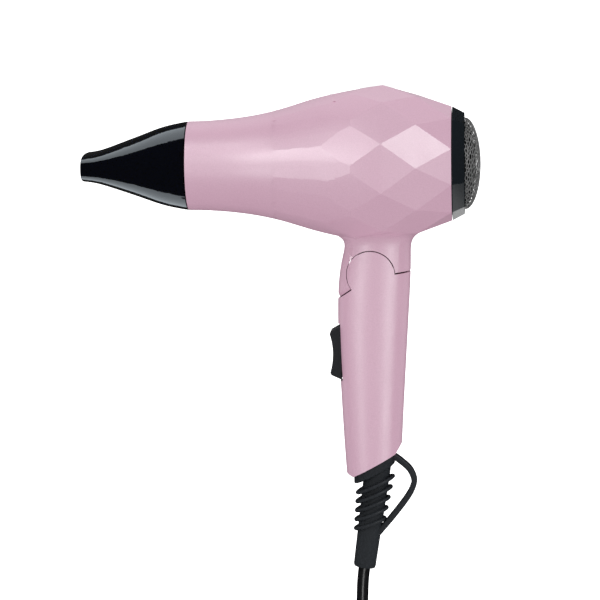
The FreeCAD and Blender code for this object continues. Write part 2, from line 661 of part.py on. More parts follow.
# Share of the length from the back, share of the narrowing in height, and how square it is.
NOZZLE_LEVELS = [
    (0.0, 0.0, 2.0), (0.08, 0.045, 2.0), (0.18, 0.115, 2.0), (0.325, 0.261, 2.05), (0.45, 0.420, 2.15),
    (0.58, 0.580, 2.25), (0.70, 0.729, 2.4), (0.80, 0.850, 2.55), (0.90, 0.949, 2.75), (1.0, 1.0, 2.8),
]


def nozzle_solid(inset, overrun):
    levels = []
    for along, narrow, squareness in NOZZLE_LEVELS:
        x = nozzle_back_x - size("nozzle_len") * along
        x -= overrun * (along == 1.0)
        width = nozzle_r + (mouth_w - nozzle_r) * along
        height = nozzle_r + (mouth_h - nozzle_r) * narrow
        levels.append(flat_round(x, width - inset, height - inset, squareness))
    return Part.makeLoft(levels, True, False)


collar_r = size("spigot_dia") / 2 + size("collar_gap") + size("collar_wall")
nozzle_bore = barrel_rod(collar_r + size("collar_gap"), nozzle_back_x - 9.2, nozzle_back_x + 1)
nozzle_shape = nozzle_solid(0.0, 0.0).cut([nozzle_solid(size("nozzle_wall"), 0.5), nozzle_bore])
keep("nozzle", shaped("nozzle", nozzle_shape))


# ---- heater ------------------------------------------------------------------------------------------

SLEEVE_START = f"{FX} + 3.5"
sleeve_start = size("front_x") + 3.5
sleeve_end = -35.4
lead_hole_x = -43.0
sleeve_tube = ring("sleeve_tube", "Sizes.sleeve_dia - 2 * Sizes.sleeve_wall", "Sizes.sleeve_dia",
                   SLEEVE_START, str(sleeve_end), BARREL_AT)
lead_hole = block("lead_hole", "5", "10", "12", (str(lead_hole_x - 2.5), "0", f"{AXIS} - 24"))
keep("mica_sleeve", cut("mica_sleeve", sleeve_tube, lead_hole))

fin_r = size("coil_dia") / 2 - size("coil_wire_dia") / 2 - 0.2
foot_r = size("sleeve_dia") / 2 - size("sleeve_wall") - 0.15
coil_start = sleeve_start + 9.0


def mica_fin(angle):
    outline = [(sleeve_start + 1, -foot_r), (sleeve_start + 5, -foot_r), (sleeve_start + 5, -fin_r),
               (lead_hole_x + 0.4, -fin_r), (lead_hole_x + 0.4, -fin_r + 0.01),
               (sleeve_end - 3.5, -fin_r), (sleeve_end - 3.5, -foot_r), (sleeve_end - 0.5, -foot_r)]
    outline = [p for p in outline if p[1] != -fin_r + 0.01]
    outline += [(x, -z) for x, z in reversed(outline)]
    thick = size("mica_thick")
    corners = [Vector(x, -thick / 2, z) for x, z in outline]
    plate = Part.Face(Part.makePolygon(corners + corners[:1])).extrude(Vector(0, thick, 0))
    plate.rotate(Vector(0, 0, 0), X, angle)
    plate.translate(Vector(0, 0, axis_z))
    return plate


keep("mica_cross", shaped("mica_cross", mica_fin(45).fuse(mica_fin(135)).removeSplitter()))
turns = []
for i in range(int(size("coil_turns"))):
    turn = doc.addObject("Part::Torus", f"coil_turn{i}")
    turn.setExpression("Radius1", "Sizes.coil_dia / 2")
    turn.setExpression("Radius2", "Sizes.coil_wire_dia / 2")
    turn.Placement = Placement(Vector(coil_start + i * size("coil_pitch"), 0, axis_z), Rotation(Y, 90))
    turns.append(turn)
keep("heater_coils", group("heater_coils", *turns))
THERMO_X = -58.0
keep("thermostat", fuse(
    "thermostat",
    block("thermo_base", "12", "9", "1.6", (str(THERMO_X), "0", f"{AXIS} + 6.2")),
    rod("thermo_cap", "8", "3.4", (str(THERMO_X + 6), "0", f"{AXIS} + 7.8"), "Z")))
keep("thermal_fuse", fuse(
    "thermal_fuse", rod("fuse_case", "4", "11", (str(THERMO_X), "0", f"{AXIS} - 3.85")),
    rod("fuse_ends", "1", "17", (str(THERMO_X - 3), "0", f"{AXIS} - 3.85"))))


# ---- fan housing, motor and fan -------------------------------------------------------------------------

DUCT_R = "Sizes.duct_dia / 2"
WALL = "Sizes.duct_wall"
duct_outline = [
    ("-38", f"{SLEEVE_R} + 0.1"), ("-38", f"{SLEEVE_R} + 0.1 + {WALL}"),
    ("-34", f"{SLEEVE_R} + 0.1 + {WALL}"), ("-4", DUCT_R), ("Sizes.duct_end_x", DUCT_R),
    ("Sizes.duct_end_x", f"{DUCT_R} - {WALL}"), ("-4", f"{DUCT_R} - {WALL}"),
    ("-34", f"{SLEEVE_R} - 1"), ("-35.3", f"{SLEEVE_R} - 1"), ("-35.3", f"{SLEEVE_R} + 0.1"),
]
duct = turned("duct", duct_outline, BARREL_AT)
FLANGE_R = inner_r(flange_x + FLANGE_THICK) - 0.3
flange = ring("housing_flange", f"Sizes.duct_dia - 1", f"{2 * FLANGE_R}", str(flange_x),
              str(flange_x + FLANGE_THICK), BARREL_AT)
hub = ring("motor_hub", "Sizes.motor_dia + 0.2", "Sizes.motor_dia + 3",
           "Sizes.motor_x + 1", "Sizes.motor_x + Sizes.motor_len - 1", BARREL_AT)
vanes = []
vane_inner = size("motor_dia") / 2 + 1.0
vane_outer = size("duct_dia") / 2 - size("duct_wall") + 0.4
for i in range(int(size("vanes"))):
    plate = Part.makeBox(14.0, 1.3, vane_outer - vane_inner, Vector(-7.0, -0.65, vane_inner))
    plate.rotate(Vector(0, 0, 0), Z, 18)
    plate.translate(Vector(3.0, 0, 0))
    plate.rotate(Vector(0, 0, 0), X, 360 * i / size("vanes"))
    plate.translate(Vector(0, 0, axis_z))
    vanes.append(shaped(f"vane{i}", plate))
keep("fan_housing", fuse("fan_housing", duct, flange, hub, *vanes))

MX = "Sizes.motor_x"
MEND = "Sizes.motor_x + Sizes.motor_len"
MOTOR_R = "Sizes.motor_dia / 2"
BUSH_R = "3"
can_outline = [
    (MX, f"{MOTOR_R} - 0.9"), (MX, MOTOR_R), (MEND, MOTOR_R), (MEND, BUSH_R),
    (f"{MEND} - 1", BUSH_R), (f"{MEND} - 1", f"{MOTOR_R} - 0.9"),
]
keep("motor_can", turned("motor_can", can_outline, BARREL_AT))
cap_outline = [
    (f"{MX} - 2", BUSH_R), (f"{MX} - 2", MOTOR_R), (MX, MOTOR_R), (MX, f"{MOTOR_R} - 1.1"),
    (f"{MX} + 1.5", f"{MOTOR_R} - 1.1"), (f"{MX} + 1.5", BUSH_R),
]
keep("motor_end_cap", turned("motor_end_cap", cap_outline, BARREL_AT))
bush_bore = "Sizes.shaft_dia + 2 * Sizes.shaft_gap"
keep("motor_bearings", group(
    "motor_bearings",
    ring("front_bush", bush_bore, "5.9", f"{MX} - 2.5", f"{MX} + 1.5", BARREL_AT),
    ring("rear_bush", bush_bore, "5.9", f"{MEND} - 2", f"{MEND} + 1.5", BARREL_AT)))

magnet_r = size("motor_dia") / 2 - 1.0
motor_x = size("motor_x")
magnets = []
for turn_deg in (0, 180):
    shell = Part.makeCylinder(magnet_r, 20.0, Vector(0, 0, 0), Z, 120)
    shell = shell.cut(Part.makeCylinder(magnet_r - 1.5, 20.0))
    shell.rotate(Vector(0, 0, 0), Z, turn_deg)
    shell.rotate(Vector(0, 0, 0), Y, 90)
    shell.translate(Vector(motor_x + 6.0, 0, axis_z))
    magnets.append(shaped(f"magnet{turn_deg}", shell))
keep("motor_magnets", group("motor_magnets", *magnets))
terminals = [block(f"terminal{side}", "6.4", "2.4", "0.6", (f"{MX} - 8.4", f"{side} * 6", f"{AXIS} + 6"))
             for side in (-1, 1)]
keep("motor_terminals", group("motor_terminals", *terminals))

keep("motor_shaft", rod("motor_shaft", "Sizes.shaft_dia", "Sizes.motor_len + 16",
                        (f"{MX} - 4", "0", AXIS)))
core = ring("armature_core", "Sizes.shaft_dia + 0.04", f"{2 * (magnet_r - 2.1)}",
            f"{MX} + 8", f"{MX} + 24", BARREL_AT)
winding_slots = []
for i in range(3):
    gap = Part.makeBox(20.0, 1.6, 12.0, Vector(motor_x + 7, -0.8, 4.5))
    gap.rotate(Vector(0, 0, 0), X, 120 * i)
    gap.translate(Vector(0, 0, axis_z))
    winding_slots.append(shaped(f"winding_slot{i}", gap))
commutator = ring("commutator", "Sizes.shaft_dia + 0.04", "5.2", f"{MX} + 3", f"{MX} + 8", BARREL_AT)
slotted = cut("slotted_core", core, *winding_slots)
keep("motor_armature", fuse("motor_armature", slotted, commutator))

fan_r = size("duct_dia") / 2 - size("duct_wall") - size("fan_tip_gap")
fan_x, fan_len = size("fan_x"), size("fan_len")


def fan_blade(turn_deg):
    """A pitched flat blade that stands on the hub and reaches towards the duct."""
    root = size("fan_hub_dia") / 2 - 1.0
    blade = Part.makeBox(14.5, 1.4, fan_r + 2.0 - root, Vector(-7.25, -0.7, root))
    blade.rotate(Vector(0, 0, 0), Z, 40)
    blade.translate(Vector(fan_x + fan_len / 2 - 1.5, 0, 0))
    blade.rotate(Vector(0, 0, 0), X, turn_deg)
    blade.translate(Vector(0, 0, axis_z))
    return blade


blades = [fan_blade(360 * i / size("fan_blades")) for i in range(int(size("fan_blades")))]
blade_set = blades[0].multiFuse(blades[1:]).common(barrel_rod(fan_r, fan_x - 5, fan_x + fan_len + 5))
fan_outline = [
    ("Sizes.fan_x", "Sizes.shaft_dia / 2 + 0.02"), ("Sizes.fan_x", "Sizes.fan_hub_dia / 2"),
    ("Sizes.fan_x + Sizes.fan_len - 3", "Sizes.fan_hub_dia / 2"),
    ("Sizes.fan_x + Sizes.fan_len", "Sizes.fan_hub_dia / 2 - 3"),
    ("Sizes.fan_x + Sizes.fan_len", "Sizes.shaft_dia / 2 + 0.02"),
]
fan_core = turned("fan_core", fan_outline, BARREL_AT)
keep("fan", fuse("fan", fan_core, shaped("fan_blades", blade_set)))


# ---- supply of the motor -------------------------------------------------------------------------------

board_x = f"{MX} - 10"
keep("diode_board", ring("diode_board", "6", "20", board_x, f"{MX} - 8.4", BARREL_AT))
diodes = [rod(f"diode{i}", "2.6", "5", (f"{MX} - 11.4", f"{y} - 2.5", f"{AXIS} + {z}"), "Y")
          for i, (y, z) in enumerate(((-4.5, 5), (4.5, 5), (-4.5, -5), (4.5, -5)))]
keep("diodes", group("diodes", *diodes))
keep("capacitor", block("capacitor", "6", "4", "7", (f"{MX} - 16.1", "7.6", f"{AXIS} - 3.5")))

# Two insulated wires run from the neck, under the fan housing, to the heater.
wire_r = 0.9


def bent_wire(points, radius, bend):
    """Straight runs joined by arcs that touch both runs."""
    path, start = [], points[0]
    for before, corner, after in zip(points, points[1:], points[2:]):
        one, two = (before - corner).normalize(), (after - corner).normalize()
        half_turn = (math.pi - one.getAngle(two)) / 2
        reach = bend * math.tan(half_turn)
        middle = (one + two).normalize()
        centre = corner + middle * (bend / math.cos(half_turn))
        p, q = corner + one * reach, corner + two * reach
        path.append(Part.LineSegment(start, p).toShape())
        path.append(Part.Arc(p, centre - middle * bend, q).toShape())
        start = q
    path.append(Part.LineSegment(start, points[-1]).toShape())
    spine = Part.Wire(path)
    heading = (points[1] - points[0]).normalize()
    end = Part.Wire([Part.Circle(points[0], heading, radius).toShape()])
    return spine.makePipeShell([end], True, False), spine.Length


lead_low_z = axis_z - inner_r(size("ring_b_x")) + 4.6
leads = []
for side in (-1, 1):
    y = side * WIRE_Y
    route = [Vector(wire_x, y, hinge.z + 10.4), Vector(wire_x, y, lead_low_z),
             Vector(lead_hole_x, y, axis_z - size("sleeve_dia") / 2 - 4.5),
             Vector(lead_hole_x, y, axis_z - size("sleeve_dia") / 2 + 3.5)]
    leads.append(shaped(f"heater_lead{side + 2}", bent_wire(route, wire_r, 3.0)[0]))
keep("heater_leads", group("heater_leads", *leads))


def screw(name, x, z):
    """Pan head on the right, shank into the left half."""
    head_y = 6.1
    head = rod(name + "_head", "Sizes.screw_head_dia", "Sizes.screw_head_len",
               (str(x), str(head_y), str(z)), "Y")
    shank = rod(name + "_shank", "Sizes.screw_dia", "15.6", (str(x), str(head_y - 15.5), str(z)), "Y")
    return fuse(name, head, shank)


keep("barrel_screws", group("barrel_screws", *[
    screw(f"barrel_screw{i}", x, z) for i, (x, z) in enumerate(NECK_SCREWS)]))
keep("handle_screws", group("handle_screws", *[
    screw(f"handle_screw{i}", x, z) for i, (x, z) in enumerate(HANDLE_SCREWS)]))


# ---- rear ring and mesh ----------------------------------------------------------------------------------

ring_start = end_x + size("rear_ring_gap")
ring_end = ring_start + size("rear_ring_len")
bore_r = size("mesh_dia") / 2 + 0.1
shelf_r = bore_r + 1.1


def decagon(x, radius):
    corners = [ring_point(x, radius, k) for k in range(0, 2 * facets, 2)]
    return Part.makePolygon(corners + corners[:1])


ring_shape = Part.makeLoft([decagon(ring_start, ring_d_r), decagon(ring_end, size("rear_ring_end_dia") / 2)],
                           True, True)
ring_shape = ring_shape.fuse([barrel_rod(lip_r - 0.2, lip_x - 2.2, ring_start + 1),
                              barrel_rod(lip_r + 0.8, lip_x - 2.2, lip_x - 0.2)])
ring_shape = ring_shape.cut([barrel_rod(bore_r, lip_x - 5, ring_end + 1),
                             barrel_rod(shelf_r, ring_start + 0.2, ring_end - 1.6)])
keep("rear_ring", shaped("rear_ring", ring_shape))

# The mesh is a shallow dome with a flat rim that sits behind the ring's rear edge.
mesh_r = size("mesh_dia") / 2
thick = size("mesh_thick")


def dome_arc(rise, radius):
    """Points of a flattened quarter arc from the ring's rear end to the dome's crown."""
    return [(ring_end + rise * math.sin(math.pi * step / 12), radius * math.cos(math.pi * step / 12))
            for step in range(6)] + [(ring_end + rise, 0)]


mesh_outline = [(ring_end - 2.6, mesh_r - thick), (ring_end - 2.6, shelf_r - 0.1),
                (ring_end - 1.7, shelf_r - 0.1), (ring_end - 1.7, mesh_r)]
mesh_outline += dome_arc(size("mesh_rise"), mesh_r)
mesh_outline += reversed(dome_arc(size("mesh_rise") - thick, mesh_r - thick))
mesh_wire = Part.makePolygon([Vector(x, r, 0) for x, r in mesh_outline + mesh_outline[:1]])
mesh_shape = Part.Face(mesh_wire).revolve(Vector(0, 0, 0), X, 360)
mesh_shape.translate(Vector(0, 0, axis_z))
hole_r = size("mesh_hole_dia") / 2
mesh_holes = []
for row in range(1, 6):
    for i in range(6 * row):
        angle = 2 * math.pi * i / (6 * row)
        y, z = 4.0 * row * math.cos(angle), 4.0 * row * math.sin(angle)
        mesh_holes.append(Part.makeCylinder(hole_r, 16, Vector(ring_end - 2, y, axis_z + z), X))
keep("inlet_mesh", shaped("inlet_mesh", mesh_shape.cut(mesh_holes)))
keep("inlet_filter", shaped("inlet_filter", barrel_rod(shelf_r - 0.1, ring_end - 3.8, ring_end - 2.7)))
keep("mesh_retainer", shaped("mesh_retainer", barrel_rod(shelf_r - 0.1, ring_start + 0.3, ring_end - 3.9).cut(
    barrel_rod(shelf_r - 3.0, ring_start - 3, ring_end))))


# ---- rocker switch ------------------------------------------------------------------------------------------

mid_z, half_len = size("rocker_z"), size("rocker_len") / 2
face_x = grip_level(mid_z)[0] + 0.25
crown_x = face_x - size("rocker_stand")
pivot_x = size("rocker_pivot_x")


def rocker_solid():
    """A saddle: two raised ends, hollow between them, on a stem that turns on trunnions."""
    half = size("rocker_width") / 2

    def at(x, z):
        return Vector(x, -half, mid_z + z)

    top = [at(face_x + 1.2, half_len), at(crown_x + 0.6, half_len - 3.0), at(crown_x, half_len - 4.6)]
    low = [at(crown_x + 0.1, 3.6 - half_len), at(crown_x + 0.8, 2.4 - half_len), at(face_x + 1.2, -half_len)]
    edges = [Part.makeLine(top[0], top[1]), Part.makeLine(top[1], top[2]),
             Part.Arc(top[2], at(crown_x + 1.6, 0.3), low[0]).toShape(),
             Part.makeLine(low[0], low[1]), Part.makeLine(low[1], low[2]),
             Part.makeLine(low[2], top[0])]
    cap = Part.Face(Part.Wire(edges)).extrude(Vector(0, 2 * half, 0))
    stem = Part.makeBox(pivot_x + 1.6 - face_x - 1.0, 2 * half, 10.0,
                        Vector(face_x + 1.0, -half, mid_z - 5.0))
    trunnion = Part.makeCylinder(1.2, 2 * half + 3.0, Vector(pivot_x, -half - 1.5, mid_z), Y)
    return cap.fuse([stem, trunnion])


keep("rocker", shaped("rocker", rocker_solid()))

switch_half = size("switch_width") / 2
switch_x = pivot_x + 2.4
case = Part.makeBox(switch_back_x - switch_x, 2 * switch_half, size("switch_len"),
                    Vector(switch_x, -switch_half, mid_z - size("switch_len") / 2))
ears = []
for side in (-1, 1):
    ear_out = size("rocker_width") / 2 + 1.5
    ear_low = ear_out - 1.3 if side > 0 else -ear_out
    ear = Part.makeBox(switch_x + 2.0 - pivot_x + 1.5, 1.3, 6.0, Vector(pivot_x - 1.5, ear_low, mid_z - 3))
    bridge_low = switch_half - 0.5 if side > 0 else -ear_out
    bridge = Part.makeBox(2.5, ear_out - switch_half + 0.5, 6.0, Vector(switch_x, bridge_low, mid_z - 3))
    ears += [ear, bridge]
case = case.fuse(ears).cut(Part.makeCylinder(1.26, 30, Vector(pivot_x, -15, mid_z), Y))
keep("switch_body", shaped("switch_body", case.removeSplitter()))
tabs = [shaped(f"tab{i}", Part.makeBox(5.0, 2.8, 0.8, Vector(switch_back_x, -1.4, mid_z + z)))
        for i, z in enumerate((-8.0, 0.0, 8.0))]
keep("switch_tabs", group("switch_tabs", *tabs))


# ---- strain relief with its hanging loop ----------------------------------------------------------------------

slant = math.atan2(size("heel_z") - size("toe_z"), size("heel_x") - size("toe_x"))


def slanted_disc(centre, slope, half_x, half_y, disc_thick):
    """An oval plate whose plane rises towards +X by slope; centre is the middle of its top."""
    if half_x > half_y:
        oval = Part.Ellipse(Vector(0, 0, 0), half_x, half_y)
    else:
        oval = Part.Circle(Vector(0, 0, 0), Z, half_x)
    plate = Part.Face(Part.Wire([oval.toShape()])).extrude(Vector(0, 0, -disc_thick))
    plate.rotate(Vector(0, 0, 0), Y, -math.degrees(slope))
    plate.translate(centre)
    return plate


def bottom_z(x):
    return size("toe_z") + (x - size("toe_x")) * math.tan(slant)


COLLAR_THICK = 5.4
collar_x = (size("toe_x") + size("heel_x")) / 2 - 0.2
collar = Part.Face(Part.Wire([Part.Ellipse(Vector(collar_x, 0, -70.0), 10.75, 9.6).toShape()]))
collar = collar.extrude(Vector(0, 0, 50.0)).common(prism([
    (-30.0, bottom_z(-30.0) - 0.1), (30.0, bottom_z(30.0) - 0.1),
    (30.0, bottom_z(30.0) - COLLAR_THICK - 2.4), (-30.0, bottom_z(-30.0) - COLLAR_THICK + 1.2)]))
inner_flange = slanted_disc(Vector(0.9, 0, bottom_z(0.9) + FLOOR_THICK + 2.1), slant, 8.6, 7.4, 1.9)
relief_end_z = size("relief_z") - size("relief_len") * math.cos(lean_rad) + 0.0
throat = relief_cone(bottom_z(0) + 7.0, bottom_z(0) - 6.0, 10.2, 10.2)
core_end_z = relief_end_z + 20.0
core_body = relief_cone(size("relief_z") + 4.5, core_end_z, size("relief_dia"), 12.2)
sleeve = relief_cone(core_end_z + 0.5, relief_end_z, 12.2, size("relief_end_dia"))
discs = []
for i in range(5):
    z = size("relief_z") - 3.3 - i * size("rib_pitch")
    slope = math.radians(24.8 - 1.3 * i)
    half_x = 11.3 - 0.55 * i
    centre = Vector(relief_axis(z) - 0.1, 0, z + size("rib_thick") / 2)
    discs.append(slanted_disc(centre, slope, half_x, half_x * 0.80, size("rib_thick")))

# The loop leaves the collar's rear end, swings out and comes back to the sleeve.
LOOP_LINE = [(7.0, -38.6), (9.8, -40.1), (13.8, -43.1), (17.7, -46.9), (19.8, -51.8), (19.3, -55.7),
             (16.4, -61.3), (9.3, -70.7), (0.4, -81.2), (-1.4, -83.4)]


def loop_side(offset):
    points = [Vector(x, 0, z) for x, z in LOOP_LINE]
    moved = []
    for i, p in enumerate(points):
        run = points[min(i + 1, len(points) - 1)] - points[max(i - 1, 0)]
        moved.append(p + run.cross(Y).normalize() * offset)
    curve = Part.BSplineCurve()
    curve.interpolate(moved)
    return curve.toShape(), moved[0], moved[-1]


outer_edge, outer_first, outer_last = loop_side(size("loop_thick") / 2)
inner_edge, inner_first, inner_last = loop_side(-size("loop_thick") / 2)
strap_face = Part.Face(Part.Wire(Part.__sortEdges__([
    outer_edge, Part.makeLine(outer_last, inner_last), inner_edge,
    Part.makeLine(inner_first, outer_first)])))
strap_face.translate(Vector(0, -size("loop_width") / 2, 0))
strap = strap_face.extrude(Vector(0, size("loop_width"), 0))
relief_shape = collar.fuse([inner_flange, throat, core_body, sleeve, strap] + discs)
relief_shape = relief_shape.cut(relief_cone(-20.0, -110.0, size("cord_dia") + size("cord_gap"),
                                            size("cord_dia") + size("cord_gap")))
relief_shape = relief_shape.cut(handle_shape)
keep("strain_relief", shaped("strain_relief", relief_shape))


# ---- cord inside the handle -----------------------------------------------------------------------------------

sheath_top_z = SADDLE_Z + 9.0
keep("cord_inner", shaped("cord_inner", relief_cone(sheath_top_z, relief_end_z, size("cord_dia"),
                                                    size("cord_dia"))))
BAR_THICK = 1.8
bar = Part.makeBox(BAR_THICK, 14.4, SADDLE_TALL - 1.6, Vector(clamp_x, -7.2, SADDLE_Z + 0.8))
bar = bar.cut([Part.makeCylinder(size("screw_dia") / 2 + 0.15, 10, Vector(clamp_x - 3, y, clamp_z), X)
               for y in (-CLAMP_SCREW_Y, CLAMP_SCREW_Y)])
keep("cord_clamp", shaped("cord_clamp", bar))
clamp_screws = []
for side in (-1, 1):
    y = side * CLAMP_SCREW_Y
    shank_x = saddle_x - 6.0
    head = Part.makeCylinder(1.6, 0.9, Vector(clamp_x + BAR_THICK, y, clamp_z), X)
    shank = Part.makeCylinder(size("screw_dia") / 2, clamp_x + BAR_THICK - shank_x + 0.2,
                              Vector(shank_x, y, clamp_z), X)
    clamp_screws.append(shaped(f"clamp_screw{side + 2}", head.fuse(shank)))
keep("clamp_screws", group("clamp_screws", *clamp_screws))
tab_x = switch_back_x + 3.2
core_x = relief_axis(sheath_top_z)
first_core = [Vector(core_x, -1.5, sheath_top_z + 0.3), Vector(tab_x, -1.5, sheath_top_z + 9.0),
              Vector(tab_x, -1.5, mid_z - 8.3)]
second_core = [Vector(core_x, 1.5, sheath_top_z + 0.3), Vector(tab_x, 1.5, sheath_top_z + 9.0),
               Vector(tab_x, 1.5, mid_z - 17.0), Vector(tab_x + 4.0, 1.5, mid_z - 11.5),
               Vector(tab_x + 4.0, 1.5, mid_z - 4.5), Vector(tab_x + 0.8, 1.5, mid_z - 0.9)]
cores = [shaped(f"core{i}", bent_wire(route, wire_r, 2.0)[0])
         for i, route in enumerate((first_core, second_core))]
keep("switch_leads", group("switch_leads", *cores))


# ---- free cord, its coil and the plug -------------------------------------------------------------------------

ground = size("ground_z")
lie_z = ground + cord_r
exit_point = Vector(relief_axis(relief_end_z), 0, relief_end_z)
print("cord leaves the strain relief at", exit_point)

# The lead hangs, bends in four small turns and runs on to the coil, which it meets at a tangent.
LEAD = [
    (exit_point.x, exit_point.y, exit_point.z), (-7.5, 0.0, -104.9), (-7.9, 0.0, -116.0),
    (-8.3, 0.1, -131.5), (-9.2, 0.2, -148.5), (-15.2, -3.2, -164.0), (-25.4, -9.5, -176.2),
    (-39.0, -17.7, lie_z), (-54.5, -27.2, lie_z), (-69.2, -36.1, lie_z + 0.6),
]
# The tail comes off the top of the coil, goes round outside it and runs to the plug.
TAIL = [
    (-69.2, -36.7, lie_z + 7.2), (-87.6, -47.6, lie_z + 7.0), (-107.5, -49.0, lie_z + 4.6),
    (-125.4, -41.6, lie_z + 1.6), (-138.3, -25.4, lie_z + 0.2), (-143.8, -4.0, lie_z),
    (-140.4, 18.6, lie_z), (-128.3, 37.6, lie_z), (-109.6, 49.4, lie_z), (-89.0, 51.8, lie_z),
    (-70.0, 51.2, lie_z + 0.1), (-52.5, 50.6, lie_z + 2.6), (-35.0, 50.3, lie_z + 7.6),
    (size("plug_x"), 50.2, lie_z + 8.9),
]


def cord_tube(name, route):
    points = [Vector(*p) for p in route]
    path, start, radii = [], points[0], []
    for before, corner, after in zip(points, points[1:], points[2:]):
        one, two = before - corner, after - corner
        shorter = min(one.Length, two.Length)
        one.normalize()
        two.normalize()
        half_turn = (math.pi - one.getAngle(two)) / 2
        reach = 0.45 * shorter
        radius = reach / math.tan(half_turn)
        radii.append(radius)
        middle = (one + two).normalize()
        centre = corner + middle * (radius / math.cos(half_turn))
        p, q = corner + one * reach, corner + two * reach
        path.append(Part.LineSegment(start, p).toShape())
        path.append(Part.Arc(p, centre - middle * radius, q).toShape())
        start = q
    path.append(Part.LineSegment(start, points[-1]).toShape())
    spine = Part.Wire(path)
    heading = (points[1] - points[0]).normalize()
    end = Part.Wire([Part.Circle(points[0], heading, cord_r).toShape()])
    tube = spine.makePipeShell([end], True, False)
    expected = math.pi * cord_r ** 2 * spine.Length
    print(name, "length %.1f" % spine.Length, "volume ratio %.4f" % (tube.Volume / expected),
          "radii", [round(r) for r in radii])
    return tube


keep("cord_lead", shaped("cord_lead", cord_tube("cord_lead", LEAD)))
keep("cord_tail", shaped("cord_tail", cord_tube("cord_tail", TAIL)))

coil_r = size("coil_mean_dia") / 2
coil_low = ground + size("tie_thick") + 0.2
BUNDLE = 3.0
bundle_half = BUNDLE * cord_r
coil_inner = coil_r - bundle_half
coil_outer = coil_r + bundle_half
coil_top = coil_low + 4 * cord_r
coil_axis = Vector(size("coil_x"), 0, 0)
CORNER = 1.6


def coil_ring(grow):
    """The outer shape of the coil: a ring with its edges cut off, grown by a clearance."""
    low, top = coil_low - grow, coil_top + grow
    near, far = coil_inner - grow, coil_outer + grow
    outline = [(near, low + CORNER), (near + CORNER, low), (far - CORNER, low), (far, low + CORNER),
               (far, top - CORNER), (far - CORNER, top), (near + CORNER, top), (near, top - CORNER)]
    corners = [coil_axis + Vector(r, 0, z) for r, z in outline]
    return Part.Face(Part.makePolygon(corners + corners[:1])).revolve(coil_axis, Z, 360)


keep("cord_coil", shaped("cord_coil", coil_ring(0.0)))
tie_t = size("tie_thick")
tie_band = Part.makeBox(2 * bundle_half + 0.3 + 2 * tie_t, size("tie_width"), 4 * cord_r + 0.3 + 2 * tie_t,
                        Vector(size("coil_x") + coil_inner - 0.15 - tie_t, -size("tie_width") / 2,
                               coil_low - 0.15 - tie_t))
tie_room = Part.makeBox(2 * bundle_half + 0.3, size("tie_width") + 2, 4 * cord_r + 0.3,
                        Vector(size("coil_x") + coil_inner - 0.15, -size("tie_width") / 2 - 1,
                               coil_low - 0.15))
tie = tie_band.cut([tie_room, coil_ring(0.15)])
tie.rotate(coil_axis, Z, 14)
keep("cord_tie", shaped("cord_tie", tie))

plug_y = 50.2
plug_z = ground + size("plug_height") / 2
plug_axis_z = lie_z + 8.9


def plug_level(x, half_width, half_height, squareness):
    wire = flat_round(x, half_width, half_height, squareness)
    wire.translate(Vector(0, plug_y, plug_z - axis_z))
    return wire


plug_w, plug_h = size("plug_width") / 2, size("plug_height") / 2
plug_start, plug_len = size("plug_x"), size("plug_len")
plug_face = plug_start + plug_len
plug_shape = Part.makeLoft([
    plug_level(plug_start, 4.6, 4.6, 2.0), plug_level(plug_start + 16, 5.8, 5.8, 2.0),
    plug_level(plug_start + 26, 9.5, 8.6, 2.2), plug_level(plug_start + 36, 15.4, 11.2, 2.5),
    plug_level(plug_start + 44, plug_w, plug_h - 0.1, 2.7), plug_level(plug_face, plug_w, plug_h, 2.8)],
    True, False)
prong_r = size("prong_dia") / 2
prong_root, root_r, TIP_LEN = 6.0, 2.0, 1.7
sockets, prongs = [], []
for side in (-1, 1):
    y = plug_y + side * size("prong_spacing") / 2
    sockets.append(Part.makeCylinder(root_r, prong_root, Vector(plug_face - prong_root, y, plug_z), X))
    root = Part.makeCylinder(root_r, prong_root + 0.5, Vector(plug_face - prong_root, y, plug_z), X)
    shaft = Part.makeCylinder(prong_r, size("prong_len") - TIP_LEN - 0.3,
                              Vector(plug_face + 0.3, y, plug_z), X)
    tip = Part.makeCone(prong_r, prong_r - 1.2, TIP_LEN,
                        Vector(plug_face + size("prong_len") - TIP_LEN, y, plug_z), X)
    prongs.append(shaped(f"prong{side + 2}", shaft.fuse([root, tip])))
keep("plug_body", shaped("plug_body", plug_shape.cut(sockets)))
keep("plug_pins", group("plug_pins", *prongs))


# ---- check and write -------------------------------------------------------------------------------------------

doc.recompute()
for item in doc.Objects:
    if {"Invalid", "Error"} & set(item.State):
        raise RuntimeError(f"{item.Name} failed: {item.State}")
faulty = [piece.Label for piece in parts
          if piece.Shape.isNull() or not piece.Shape.isValid() or not piece.Shape.Solids]
if faulty:
    raise RuntimeError(f"no valid solid: {faulty}")

os.makedirs("parts", exist_ok=True)
for piece in parts:
    piece.Shape.exportStep(f"parts/{piece.Label}.step")
    print(piece.Label, len(piece.Shape.Solids), round(piece.Shape.Volume))
print(len(parts), "parts written")
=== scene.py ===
import json
import math

import bmesh
import bpy
from mathutils import Matrix, Vector

